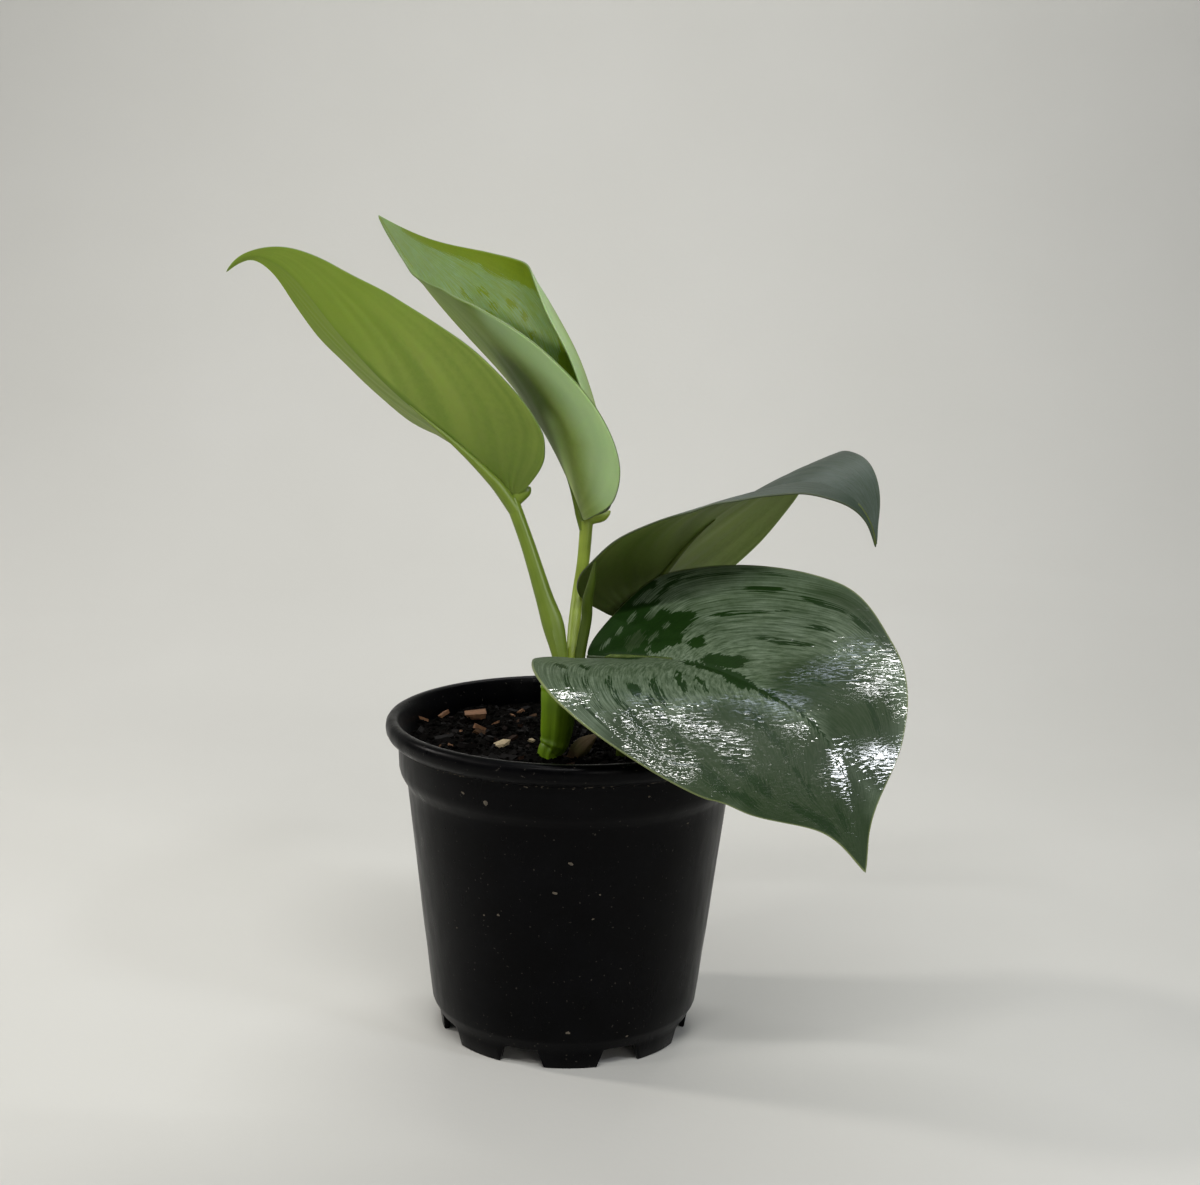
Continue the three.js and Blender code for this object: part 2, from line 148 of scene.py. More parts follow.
bpy.ops.mesh.primitive_grid_add(x_subdivisions=8, y_subdivisions=96, size=2)
paper_sweep = new_mesh_object("paper_sweep")
sheet = vertices_of(paper_sweep)
floor_length = floor_back - floor_front
arc_length = sweep_radius * math.pi / 2
along = (sheet[:, 1] + 1) / 2 * (floor_length + arc_length + wall_height)
turned = np.clip((along - floor_length) / sweep_radius, 0, math.pi / 2)
climb = np.maximum(along - floor_length - arc_length, 0)
move_vertices(paper_sweep, np.column_stack([
    sheet[:, 0] * half_width,
    floor_front + np.minimum(along, floor_length) + sweep_radius * np.sin(turned),
    sweep_radius * (1 - np.cos(turned)) + climb,
]))
bpy.ops.object.shade_smooth()

# Uncoated paper stock: matt, warm grey, with a faint tooth and cloudiness.
paper, tree, shader = new_material("matt_grey_paper")
place = node(tree, "TexCoord").outputs["Object"]
clouds = node(tree, "TexNoise", {"Vector": place, "Scale": 9, "Detail": 3})
fibres = node(tree, "TexNoise", {"Vector": place, "Scale": 420, "Detail": 2})
tone = node(tree, "Mix", {"Factor": clouds, "A": "#d0d0cb", "B": "#d6d6d2"}, data_type="RGBA")
tooth = node(tree, "Bump", {"Height": fibres, "Distance": 0.0002, "Strength": 0.25})
feed(shader, {"Base Color": tone, "Normal": tooth, "Roughness": 0.85})
paper_sweep.data.materials.append(paper)

world = bpy.data.worlds.new("studio")
world.use_nodes = True
background = world.node_tree.nodes["Background"]
background.inputs["Color"].default_value = linear("#f1f3f8")
background.inputs["Strength"].default_value = 0.13
bpy.context.scene.world = world

plant_middle = (20, -20, 110)


def soft_panel(name, bearing, elevation, distance, width, height, power, colour, aim=plant_middle):
    """An area light round the plant, aimed at it. A bearing of 0 is in front of the pot, 90 on its right.
    A gleam shows only in reflections: it stands for the bare tubes behind the diffusers. A fill stands for
    what the pale floor throws back, and shows in none."""
    panel = bpy.data.lights.new(name, "AREA")
    panel.shape = "RECTANGLE"
    panel.size = width
    panel.size_y = height
    panel.energy = power
    panel.color = linear(colour)[:3]
    lamp = bpy.data.objects.new(name, panel)
    bpy.context.scene.collection.objects.link(lamp)
    turn, lift = math.radians(bearing), math.radians(elevation)
    away = Vector((math.sin(turn) * math.cos(lift), -math.cos(turn) * math.cos(lift), math.sin(lift)))
    lamp.location = Vector(in_frame(plant_middle)) + away * distance
    lamp.rotation_mode = "QUATERNION"
    lamp.rotation_quaternion = (Vector(in_frame(aim)) - lamp.location).to_track_quat("-Z", "Y")
    lamp.visible_diffuse = "gleam" not in name
    lamp.visible_glossy = "fill" not in name


soft_panel("front_strip", 0, 49, 0.62, 0.45, 0.016, 1.9, "#fffefb")
soft_panel("back_strip", 178, 60, 0.60, 0.45, 0.014, 1.15, "#fffefb")
soft_panel("backdrop_panel", 178, 58, 0.72, 0.6, 0.12, 1.45, "#fffefb", (20, 780, 240))
soft_panel("right_lamp", 52, 35, 0.80, 0.12, 0.05, 1.1, "#f6f9ff")
soft_panel("left_front_lamp", -63, 28, 0.80, 0.08, 0.04, 0.7, "#fffaf4")
soft_panel("left_back_lamp", -100, 29, 0.80, 0.08, 0.04, 1.9, "#fffaf4")
soft_panel("room_light", 22, 13, 1.20, 0.35, 0.12, 1.3, "#fffcf6")
soft_panel("low_fill", -40, 3, 1.00, 0.45, 0.16, 0.65, "#fffaf0")
soft_panel("front_gleam", -3, 80, 0.62, 0.36, 0.03, 1.4, "#ffffff")
soft_panel("right_gleam", 44, 24, 0.80, 0.14, 0.14, 1.8, "#f4f7ff")
soft_panel("back_gleam", -168, 70, 0.60, 0.30, 0.14, 0.5, "#dfe9ff")

# -------- pot
# A thin nursery pot, injection moulded in black polypropylene: a rolled lip, a plain band with a step
# under it, a tapering wall and a foot ring with eight drainage notches. The floor stands above the foot.
pot_sides = 160
pot_outline = [  # radius, height: from the floor's underside round the foot, up the wall and down inside
    (34.3, 6.3), (34.2, 3), (34.3, 0.3), (34.6, 0), (35.4, 0), (35.75, 0.35), (36.4, 4.4), (37, 6.4),
    (38.2, 8.3), (38.55, 9.3), (39.3, 15), (40.2, 23), (41.4, 32), (42.5, 41.6), (43.7, 52), (44.8, 61),
    (45.8, 69.4), (46.15, 72.4), (46.5, 73.4), (47.6, 75.2), (48.2, 76.4), (48.6, 78), (48.9, 84),
    (48.95, 85.1), (49.3, 85.5), (50.6, 86), (51.7, 87), (52.35, 88.2), (52.5, 89.4), (52.35, 90.6),
    (51.8, 91.5), (51.1, 91.9), (50.4, 92), (49.6, 91.85), (49.05, 91.3), (48.7, 90), (48.1, 88.6),
    (47.6, 86.5), (47.5, 84), (47.2, 78), (46.2, 74), (44.7, 71), (44.4, 69.4), (41.1, 41.6),
    (37.8, 12), (36.6, 8.2), (35.8, 7.7),
]


def turn_on_axis(name, outline, sides):
    """A round closed shell about the pot's axis: a filled circle whose rim is extruded ring by ring."""
    (radius, height), *rings = outline
    bpy.ops.mesh.primitive_circle_add(
        vertices=sides, radius=radius / 1000, fill_type="NGON", location=in_frame((0, 0, height)))
    made = new_mesh_object(name)
    centre = Vector(in_frame((0, 0, 0)))
    bpy.ops.object.mode_set(mode="EDIT")
    bpy.ops.mesh.select_all(action="SELECT")
    bpy.ops.mesh.select_mode(type="EDGE")
    bpy.ops.mesh.region_to_loop()
    for next_radius, next_height in rings:
        bpy.ops.mesh.extrude_edges_move(
            TRANSFORM_OT_translate={"value": (0, 0, (next_height - height) / 1000)})
        share = next_radius / radius
        bpy.ops.transform.resize(value=(share, share, 1), center_override=centre)
        radius, height = next_radius, next_height
    bpy.ops.mesh.edge_face_add()
    bpy.ops.mesh.select_all(action="SELECT")
    bpy.ops.mesh.normals_make_consistent(inside=False)
    bpy.ops.object.mode_set(mode="OBJECT")
    bpy.ops.object.transform_apply(location=True, rotation=True, scale=True)
    return made


def apply_modifier(piece, kind, **settings):
    """Adds a modifier with its settings and applies it."""
    select(piece)
    modifier = piece.modifiers.new(kind.lower(), kind)
    for name, value in settings.items():
        setattr(modifier, name, value)
    bpy.ops.object.modifier_apply(modifier=modifier.name)


def join(first, others):
    """Makes the other objects part of the first one's mesh."""
    select(first, others)
    bpy.ops.object.join()


pot = turn_on_axis("nursery_pot", pot_outline, pot_sides)
notch_height, notch_count, first_notch = 5.5, 8, 251
cutter_low, cutter_width, cutter_reach, cutter_taper, foot_radius = -4, 15.7, 12, 0.624, 35.5
cutter_height = notch_height - cutter_low
cutters = []
for i in range(notch_count):
    bearing = math.radians(first_notch + i * 360 / notch_count)
    x, y = foot_radius * math.cos(bearing), foot_radius * math.sin(bearing)
    bpy.ops.mesh.primitive_cube_add(
        size=1, location=in_frame((x, y, cutter_low + cutter_height / 2)), rotation=(0, 0, bearing),
        scale=(cutter_reach / 1000, cutter_width / 1000, cutter_height / 1000))
    cutter = new_mesh_object("notch_cutter")
    corners = vertices_of(cutter)
    corners[corners[:, 2] > 0, 1] *= cutter_taper
    move_vertices(cutter, corners)
    cutters.append(cutter)
notches = cutters[0]
join(notches, cutters[1:])
apply_modifier(pot, "BOOLEAN", object=notches, operation="DIFFERENCE", solver="EXACT")
bpy.data.objects.remove(notches)
apply_modifier(pot, "BEVEL", width=0.00022, segments=2, limit_method="ANGLE", angle_limit=math.radians(40))
bpy.ops.object.shade_smooth_by_angle(angle=math.radians(38))

# Black polypropylene, moulded with a fine satin grain. It reads as blue-black, and dried water drops and
# a thin haze of dust on it, thicker at the sides, break its sheen.
plastic, tree, shader = new_material("black_polypropylene")
place = node(tree, "TexCoord").outputs["Object"]
haze = node(tree, "TexNoise", {"Vector": place, "Scale": 1000 / 14, "Detail": 4, "Roughness": 0.65})
runs_map = node(tree, "Mapping", {"Vector": place, "Scale": (1, 1, 0.25)})
runs = node(tree, "TexNoise", {"Vector": runs_map, "Scale": 1000 / 3.5, "Detail": 3})
drops = node(tree, "TexVoronoi", {"Vector": place, "Scale": 1000 / 3.6}, feature="F1")
drop_size = node(tree, "TexNoise", {"Vector": place, "Scale": 1000 / 8, "Detail": 1})
drop_edge = node(tree, "MapRange", {"Value": drop_size, "From Min": 0.42, "From Max": 0.75, "To Max": 0.2})
drop = node(tree, "Math", {0: drops, 1: drop_edge}, operation="LESS_THAN")
dust = node(tree, "MapRange", {"Value": haze, "From Min": 0.42, "From Max": 0.8, "To Max": 0.6})
tone = node(tree, "Mix", {"Factor": dust, "A": "#010102", "B": "#07080b"}, data_type="RGBA")
grit = node(tree, "TexNoise", {"Vector": place, "Scale": 1000 / 0.9, "Detail": 1})
grit_edge = node(tree, "MapRange", {"Value": grit, "From Min": 0.74, "From Max": 0.77})
spotted = node(tree, "Mix", {"Factor": grit_edge, "A": tone, "B": "#34312d"}, data_type="RGBA")
satin = node(tree, "MapRange",
             {"Value": runs, "From Min": 0.3, "From Max": 0.7, "To Min": 0.26, "To Max": 0.42})
grain = node(tree, "TexNoise", {"Vector": place, "Scale": 1000 / 0.7, "Detail": 2})
skin = node(tree, "Bump", {"Height": grain, "Distance": 0.00005, "Strength": 0.4})
lifted = node(tree, "Bump", {"Height": drop, "Distance": 0.0004, "Strength": 0.7, "Normal": skin})
feed(shader, {"Base Color": spotted, "Roughness": satin, "Normal": lifted, "Specular IOR Level": 0.07,
              "Sheen Weight": 0.04, "Sheen Roughness": 0.3})
pot.data.materials.append(plastic)
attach(pot, "root")
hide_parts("pot")

# -------- soil
# Dark, moist potting mix that fills the pot to a finger's breadth under the lip: a lumpy bed with fine
# crumbs all over it, broken bark chips in reddish brown and tan, and a few white perlite grains.
soil_level = 84
bed_edge = 47.1
random = np.random.default_rng(7)


def ground_height(x, y):
    """Height of the bed's broad lumps, in millimetres."""
    broad = np.sin(0.21 * x + 1.3) * np.cos(0.17 * y)
    fine = 0.6 * np.sin(0.47 * x + 0.39 * y) * np.sin(0.33 * y - 0.52 * x + 2)
    return soil_level + 0.9 * (broad + fine)


ring_count = 46
bed_outline = [(36, 8.2), (37.4, 12), (40.7, 41.6), (44, 69.4), (44.3, 71), (45.8, 74), (46.8, 78),
               (bed_edge, 83)]
bed_outline += [(bed_edge * (1 - i / ring_count), soil_level) for i in range(ring_count)]
soil = turn_on_axis("potting_mix", bed_outline, 128)
grains = vertices_of(soil)
x, y, z = ((grains - pot_axis) * 1000).T
crust = z > soil_level - 1.5
lumps = ground_height(x, y) - soil_level + random.uniform(-0.35, 0.35, len(x))
z = np.where(crust, np.minimum(z, soil_level) + lumps, z)
move_vertices(soil, in_frame(np.column_stack([x, y, z])))


def grains_of(name, rounds, material, seed, shape, places, sizes, turns=None):
    """Copies of one faceted grain in one mesh, an ico sphere for round ones and a cube for chips, each
    turned and pushed out of shape. All lengths are in mm."""
    draw = np.random.default_rng(seed)
    if rounds:
        bpy.ops.mesh.primitive_ico_sphere_add(subdivisions=1, radius=0.5)
    else:
        bpy.ops.mesh.primitive_cube_add(size=1)
    pattern = new_mesh_object(name)
    corners = vertices_of(pattern)
    faces = np.array([list(p.vertices) for p in pattern.data.polygons])
    points, indices = [], []
    tilt = 0.35
    for i, (middle, size) in enumerate(zip(places, sizes)):
        pushed = corners * draw.uniform(0.65, 1.2, (len(corners), 1)) * size
        pushed *= np.array(shape) * draw.uniform(0.7, 1.25, 3)
        turn = Matrix.Rotation(draw.uniform(0, 6.3) if turns is None else math.radians(turns[i]), 3, "Z")
        for axis in ("X", "Y"):
            turn = turn @ Matrix.Rotation(draw.normal(0, tilt), 3, axis)
        indices.append(faces + len(corners) * i)
        points.append(pushed @ np.array(turn).T + middle)
    bpy.data.objects.remove(pattern)
    mesh = bpy.data.meshes.new(name)
    mesh.from_pydata(in_frame(np.concatenate(points)).tolist(), [], np.concatenate(indices).tolist())
    made = bpy.data.objects.new(name, mesh)
    bpy.context.scene.collection.objects.link(made)
    mesh.materials.append(material)
    return made


def strewn(seed, count, smallest, largest, reach, lift):
    """Random places on the bed and sizes for them, the small ones far commoner."""
    draw = np.random.default_rng(seed)
    bearings = draw.uniform(0, 2 * math.pi, count)
    radii = reach * np.sqrt(draw.uniform(0, 1, count))
    sizes = smallest + (largest - smallest) * draw.uniform(0, 1, count) ** 2.5
    px, py = radii * np.cos(bearings), radii * np.sin(bearings)
    return np.column_stack([px, py, ground_height(px, py) + lift * sizes]), sizes


def crumbly_material(name, grain, detail, tones, relief, depth, roughness, specular=0.5, between=(0, 1)):
    """Matt, crumbly stuff of two tones. Its pattern is grain mm wide, and one tone turns into the other
    between two levels of it. Its crumbs are relief metres high, and depth is how strongly they show."""
    material, tree, shader = new_material(name)
    place = node(tree, "TexCoord").outputs["Object"]
    clods = node(tree, "TexNoise", {"Vector": place, "Scale": 1000 / grain, "Detail": detail})
    share = node(tree, "MapRange", {"Value": clods, "From Min": between[0], "From Max": between[1]})
    tone = node(tree, "Mix", {"Factor": share, "A": tones[0], "B": tones[1]}, data_type="RGBA")
    crumbs = node(tree, "Bump", {"Height": clods, "Distance": relief, "Strength": depth})
    feed(shader, {"Base Color": tone, "Normal": crumbs, "Roughness": roughness,
                  "Specular IOR Level": specular})
    return material


# Peat and composted bark, wet enough to be nearly black, with a faint damp gleam on its crumbs.
peat = crumbly_material("moist_peat", 2.2, 4, ("#010100", "#070403"), 0.0006, 0.8, 0.8, 0.03, (0.35, 0.75))
# Perlite: a white puffed volcanic glass, chalky to the eye, tinted tan by the mix.
perlite = crumbly_material("perlite", 0.8, 3, ("#b9a98c", "#7a6a4c"), 0.0003, 0.7, 0.9)
# Bits of split wood and bark that lie dry on top: light tan, grained, chalky at their broken ends.
dry_wood = crumbly_material("dry_wood_chip", 0.9, 3, ("#8c6442", "#3c2214"), 0.0003, 0.6, 0.85)

# Broken pine bark: fibrous, matt, from red-brown to tan, darker where the wet mix clings to it.
bark, tree, shader = new_material("pine_bark")
place = node(tree, "TexCoord").outputs["Object"]
each = node(tree, "NewGeometry").outputs["Random Per Island"]
stain = node(tree, "TexNoise", {"Vector": place, "Scale": 1000 / 3, "Detail": 3})
tone = node(tree, "ValToRGB", {"Fac": each})
tone.color_ramp.elements[0].color = linear("#030201")
tone.color_ramp.elements[1].color = linear("#5a4028")
for position, colour in ((0.7, "#060302"), (0.9, "#180a06"), (0.97, "#3a2414")):
    tone.color_ramp.elements.new(position).color = linear(colour)
dirty = node(tree, "Mix", {"Factor": stain, "A": tone, "B": "#060302"}, data_type="RGBA")
fibre = node(tree, "Bump", {"Height": stain, "Distance": 0.0003, "Strength": 0.6})
feed(shader, {"Base Color": dirty, "Normal": fibre, "Roughness": 0.85, "Specular IOR Level": 0.15})

soil.data.materials.append(peat)
fine_mix = grains_of("fine_mix", True, peat, 31, (1, 0.8, 0.6), *strewn(21, 2600, 0.7, 2.6, 46.5, 0.1))
bark_bits = grains_of("bark_bits", False, bark, 32, (1, 0.5, 0.35), *strewn(22, 420, 1.0, 3.2, 46, 0.12))
bark_chips = grains_of("bark_chips", False, bark, 33, (1, 0.5, 0.3), *strewn(23, 46, 3.2, 6.5, 43, 0.05))
# The pale bits that catch the eye in front of the stem: x, y, length and turn in degrees.
top_chips = np.array([
    (-28.3, 25.9, 6.0, 12), (-26, 14.4, 4.4, 4), (-15.1, 35.4, 3.2, 30), (-17.1, 29.1, 2.6, 70),
    (-31.5, 8.3, 2, 80), (-37.9, 25.1, 3.2, 60), (-43, 17, 2.6, 10), (-33.8, -6, 2.2, 40),
    (-22, 21, 2.2, 150), (12, 30, 4, 100), (30, 12, 3.4, 20), (24, -22, 4.4, 60), (-8, -34, 4, 10),
    (33, -14, 2.6, 130), (2, 38, 3, 0),
])
top_grains = np.array([
    (-19.1, -4, 4.4, 20), (-10.9, -0.1, 3, 5), (20, 22, 3.2, 0), (34, 4, 2.4, 50), (10, -33, 3.4, 0),
])


def on_bed(bits, lift):
    x, y, length, turn = bits.T
    return np.column_stack([x, y, ground_height(x, y) + lift * length]), length, turn


dry_chips = grains_of("dry_chips", False, dry_wood, 34, (1, 0.42, 0.3), *on_bed(top_chips, 0.2))
perlite_grains = grains_of("perlite_grains", True, perlite, 35, (1, 0.8, 0.7), *on_bed(top_grains, 0.3))
join(soil, [fine_mix, bark_bits, bark_chips, dry_chips, perlite_grains])
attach(soil, "root")
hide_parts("soil")

# -------- grit on the pot
# Grains of the mix that splashed up when the pot was watered and dried on its wall, and a line of fine
# grit that lodged in the groove under the lip.
foot_point, lip_point = 6, 29
wall_profile = np.array(pot_outline[foot_point:lip_point])
splash_bearings = np.array([271.5, 266.2, 282.1, 280, 244.7, 238.7, 272, 297.5, 243.3, 234.6, 296.4, 315.9,
                            224.5])
splash_heights = np.array([62.9, 54.2, 53.6, 46.5, 45.9, 45, 12.1, 9.5, 79, 80.5, 81.6, 70.8, 38.5])
splash_sizes = np.array([1.5, 1.5, 0.9, 0.9, 1.2, 0.9, 1.5, 1.2, 2.2, 1.2, 1, 0.9, 0.7])
draw = np.random.default_rng(41)
groove_grains = 150
groove_bearings = draw.uniform(0, 360, groove_grains)
groove_heights = draw.uniform(84.7, 85.9, groove_grains)
groove_sizes = draw.uniform(0.25, 1.0, groove_grains)


def on_wall(bearings, heights):
    radii = np.interp(heights, wall_profile[:, 1], wall_profile[:, 0])
    turned = np.radians(bearings)
    return np.column_stack([radii * np.cos(turned), radii * np.sin(turned), heights])


# Fine silt that ran down with the water and dried on the plastic as a dead matt film, in two greys.
dried_silt, tree, shader = new_material("dried_silt")
place = node(tree, "TexCoord").outputs["Object"]
clouds = node(tree, "TexNoise", {"Vector": place, "Scale": 1000 / 2, "Detail": 2})
tone = node(tree, "Mix", {"Factor": clouds, "A": "#2a2620", "B": "#6b6254"}, data_type="RGBA")
feed(shader, {"Base Color": tone, "Roughness": 0.9})

splashes = grains_of("dried_splashes", True, dried_silt, 42, (0.4, 1, 0.6),
                     on_wall(splash_bearings, splash_heights), splash_sizes, splash_bearings)
groove_grit = grains_of("groove_grit", True, dried_silt, 43, (0.5, 1, 0.5),
                        on_wall(groove_bearings, groove_heights), groove_sizes, groove_bearings)
join(splashes, [groove_grit])
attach(splashes, "root")

# -------- stem and leaf stalks
# Fleshy green shoots: one short main stem, four leaf stalks and the green sheath of the youngest leaf.
# Each is drawn through listed stations, with a ridge or groove where the real one has its edge.
def spline(values, u):
    """A smooth curve through evenly spaced values, at u from 0 to 1."""
    values = np.asarray(values, float)
    padded = np.concatenate([[2 * values[0] - values[1]], values, [2 * values[-1] - values[-2]]])
    place = np.clip(u, 0, 1) * (len(values) - 1)
    i = np.minimum(place.astype(int), len(values) - 2)
    f = place - i
    a, b, c, d = padded[i], padded[i + 1], padded[i + 2], padded[i + 3]
    return 0.5 * (2 * b + (c - a) * f + (2 * a - 5 * b + 4 * c - d) * f**2 + (3 * b - a - 3 * c + d) * f**3)


def paint(piece, layers):
    """Writes a value for each point onto the mesh, one layer after the other, for its material to read."""
    for layer, values in layers.items():
        piece.data.attributes.new(layer, "FLOAT", "POINT").data.foreach_set("value", values)


def shoot(name, stations, swell, width_axis=(1, 0, 0), rings=90, sides=40, blunt=0.0):
    """A closed shoot through stations of [x, y, z, width, depth]. swell(angle, share) is in millimetres,
    and blunt is the share of the length over which its far end is rounded off."""
    bpy.ops.mesh.primitive_grid_add(x_subdivisions=rings, y_subdivisions=sides, size=2)
    made = new_mesh_object(name)
    square = vertices_of(made)
    share, angle = (square[:, 0] + 1) / 2, (square[:, 1] + 1) * math.pi
    columns = np.array(stations, float).T
    centre = np.column_stack([spline(c, share) for c in columns[:3]])
    step = 1e-3
    ahead_of = np.column_stack([spline(c, np.minimum(share + step, 1)) for c in columns[:3]])
    behind = np.column_stack([spline(c, np.maximum(share - step, 0)) for c in columns[:3]])
    tangent = ahead_of - behind
    tangent /= np.linalg.norm(tangent, axis=1, keepdims=True)
    depthways = np.cross(tangent, width_axis)
    depthways /= np.linalg.norm(depthways, axis=1, keepdims=True)
    widthways = np.cross(depthways, tangent)
    extra = swell(angle, share)
    dome = np.clip((share - (1 - blunt)) / max(blunt, 1e-6), 0, 0.995)
    rounding = np.sqrt(1 - dome**2)
    wide = (spline(columns[3], share) / 2 + extra) * np.cos(angle) * rounding
    deep = (spline(columns[4], share) / 2 + extra) * np.sin(angle) * rounding
    move_vertices(made, in_frame(centre + widthways * wide[:, None] + depthways * deep[:, None]))
    paint(made, {"share": share, "angle": angle / (2 * math.pi)})
    bpy.ops.object.mode_set(mode="EDIT")
    bpy.ops.mesh.select_all(action="SELECT")
    bpy.ops.mesh.remove_doubles(threshold=1e-6)
    bpy.ops.mesh.select_mode(type="EDGE")
    bpy.ops.mesh.select_all(action="DESELECT")
    bpy.ops.mesh.select_non_manifold()
    bpy.ops.mesh.edge_face_add()
    bpy.ops.mesh.select_all(action="SELECT")
    bpy.ops.mesh.normals_make_consistent(inside=False)
    bpy.ops.object.mode_set(mode="OBJECT")
    bpy.ops.object.shade_smooth_by_angle(angle=math.radians(50))
    return made


def ridge(angle, at, height, spread):
    """A ridge that runs along a shoot at one angle round it, all in degrees and millimetres."""
    away = (np.degrees(angle) - at + 180) % 360 - 180
    return height * np.exp(-((away / spread) ** 2))


main_stem = [
    [-5.6, -14.6, 68, 5, 4.6], [-5.7, -14.5, 83.9, 6.3, 5.6], [-4.3, -14.5, 87.4, 7, 6.2],
    [-3.6, -14.5, 91, 8.9, 7], [-3.2, -14.5, 97, 9.6, 7.6], [-3, -14.4, 104, 10, 7.8],
    [-2.4, -14.2, 108.3, 8.6, 6.8],
]
petiole_left = [
    [-2.4, -14.4, 107.2, 4.2, 4.2], [-3.1, -14.2, 113.2, 4.4, 4.4], [-5.1, -13.5, 121.6, 6, 4.6],
    [-7.9, -12.5, 129.8, 4.9, 4.2], [-12.5, -10.3, 143.4, 4, 3.8], [-17.3, -8.2, 155.8, 3.9, 3.6],
]
petiole_centre = [
    [0.3, -12.6, 107.2, 3, 3], [0.3, -12, 112.8, 3.3, 3.2], [0.9, -6.2, 121.5, 3.4, 3.2],
    [1.8, -1.8, 129.4, 3.3, 3.2], [3, -0.8, 137.8, 3.5, 3.3], [3.7, 0.7, 148.6, 3.7, 3.4],
]
petiole_back = [
    [-1.5, -13, 96.5, 3.4, 3.4], [3.5, -9.5, 101, 3.4, 3.4], [9, -3, 108.5, 3.3, 3.3],
    [13.6, 3, 115, 3.2, 3.2], [16.2, 5.8, 119.2, 3.4, 3.2],
]
petiole_front = [
    [15, -14.4, 68, 3.4, 3.4], [15, -14.5, 84, 3.8, 3.8], [16.2, -17.4, 94, 3.6, 3.6],
    [18.6, -22, 105, 3.5, 3.4], [21.5, -26.8, 115.2, 3.8, 3.4],
]
leaf_sheath = [
    [2.5, -14.8, 107.2, 3, 2], [2.6, -15, 113.5, 3, 2], [4.1, -16.4, 123.8, 3, 1.8],
    [4.3, -18.2, 129.6, 2.9, 1.5], [5.4, -20.4, 135.7, 2, 1.2], [6.1, -22.3, 141, 0.8, 0.8],
]
dry_sheath = [
    [0.8, -14.6, 78, 2.6, 1.2], [1.4, -14.6, 84, 4, 1.6], [4, -14.8, 87.5, 5, 1.6],
    [7.4, -15, 90.5, 1.4, 0.9],
]
knob_left = [
    [-17.6, -8, 154, 3.2, 2.6], [-15.6, -8, 156.2, 3.8, 3], [-13.4, -8, 158, 3.2, 2.6],
    [-12, -8, 159.2, 2, 1.8],
]
knob_centre = [
    [2.6, 0.9, 147.5, 2.6, 2.6], [5.2, 0.9, 149.4, 3.4, 2.9], [8, 0.9, 150.3, 3.4, 2.6],
    [10.4, 0.9, 151.6, 2, 1.8],
]


def lengthwise_streaks(tree, round_it, along_it):
    """Fibres that run the length of a shoot, crowded round it and stretched along it."""
    layers = [node(tree, "Attribute", attribute_name=layer) for layer in ("angle", "share")]
    angle, share = (layer.outputs["Fac"] for layer in layers)
    wrapped = node(tree, "CombineXYZ", {"X": angle, "Y": share})
    fibres = node(tree, "Mapping", {"Vector": wrapped, "Scale": (round_it, along_it, 1)})
    return node(tree, "TexNoise", {"Vector": fibres, "Scale": 1, "Detail": 3})


def stalk_material(name, light, dark, shaded):
    """Living stalk tissue: smooth, juicy and slightly glossy, streaked lengthwise, darker in blotches."""
    material, tree, shader = new_material(name)
    streaks = lengthwise_streaks(tree, 22, 1.2)
    place = node(tree, "TexCoord").outputs["Object"]
    blotches = node(tree, "TexNoise", {"Vector": place, "Scale": 1000 / 7, "Detail": 2})
    flesh = node(tree, "Mix", {"Factor": streaks, "A": dark, "B": light}, data_type="RGBA")
    patch = node(tree, "MapRange", {"Value": blotches, "From Min": 0.4, "From Max": 0.7, "To Max": 0.45})
    tone = node(tree, "Mix", {"Factor": patch, "A": flesh, "B": shaded}, data_type="RGBA")
    skin = node(tree, "Bump", {"Height": streaks, "Distance": 0.00025, "Strength": 0.35})
    feed(shader, {"Base Color": tone, "Normal": skin, "Roughness": 0.42, "IOR": 1.42})
    return material


# Copies of one stalk flesh: the centre one is lighter, with painted light on a stalk that stands in shade,
# and the olive one is darker, with painted shade for the stalks under the leaves.
young_stalk = stalk_material("young_stalk_flesh", "#74882a", "#60751c", "#546a16")
centre_stalk = stalk_material("centre_stalk_painted_light_flesh", "#9cae44", "#829630", "#708326")
stem_flesh = stalk_material("main_stem_flesh", "#7a9a18", "#5a7c0e", "#446408")
shaded_stalk = stalk_material("shaded_olive_stalk_flesh", "#5d6e1c", "#3f500f", "#2c3a08")
sheath_flesh = stalk_material("green_sheath_flesh", "#4c600d", "#344506", "#263504")


def plain(angle, share):
    return 0 * angle


def stem_form(angle, share):
    """The stem's raised seam in front, its node scar, and a foot that flares at the soil."""
    scar = 0.35 * np.exp(-(((share - 0.83) / 0.012) ** 2))
    foot = 0.5 * np.exp(-(((share - 0.36) / 0.05) ** 2))
    return ridge(angle, 268, 0.35, 9) + scar + foot - ridge(angle, 250, 0.2, 10)


def left_form(angle, share):
    """The clasping sheath on the lower half of the left stalk, with a rib at its edge."""
    clasp = np.clip((0.62 - share) / 0.3, 0, 1)
    return clasp * (ridge(angle, 262, 0.35, 8) + ridge(angle, 330, 0.3, 20)) + ridge(angle, 300, 0.12, 14)


def round_form(angle, share):
    return ridge(angle, 290, 0.15, 16) + ridge(angle, 70, 0.1, 20)


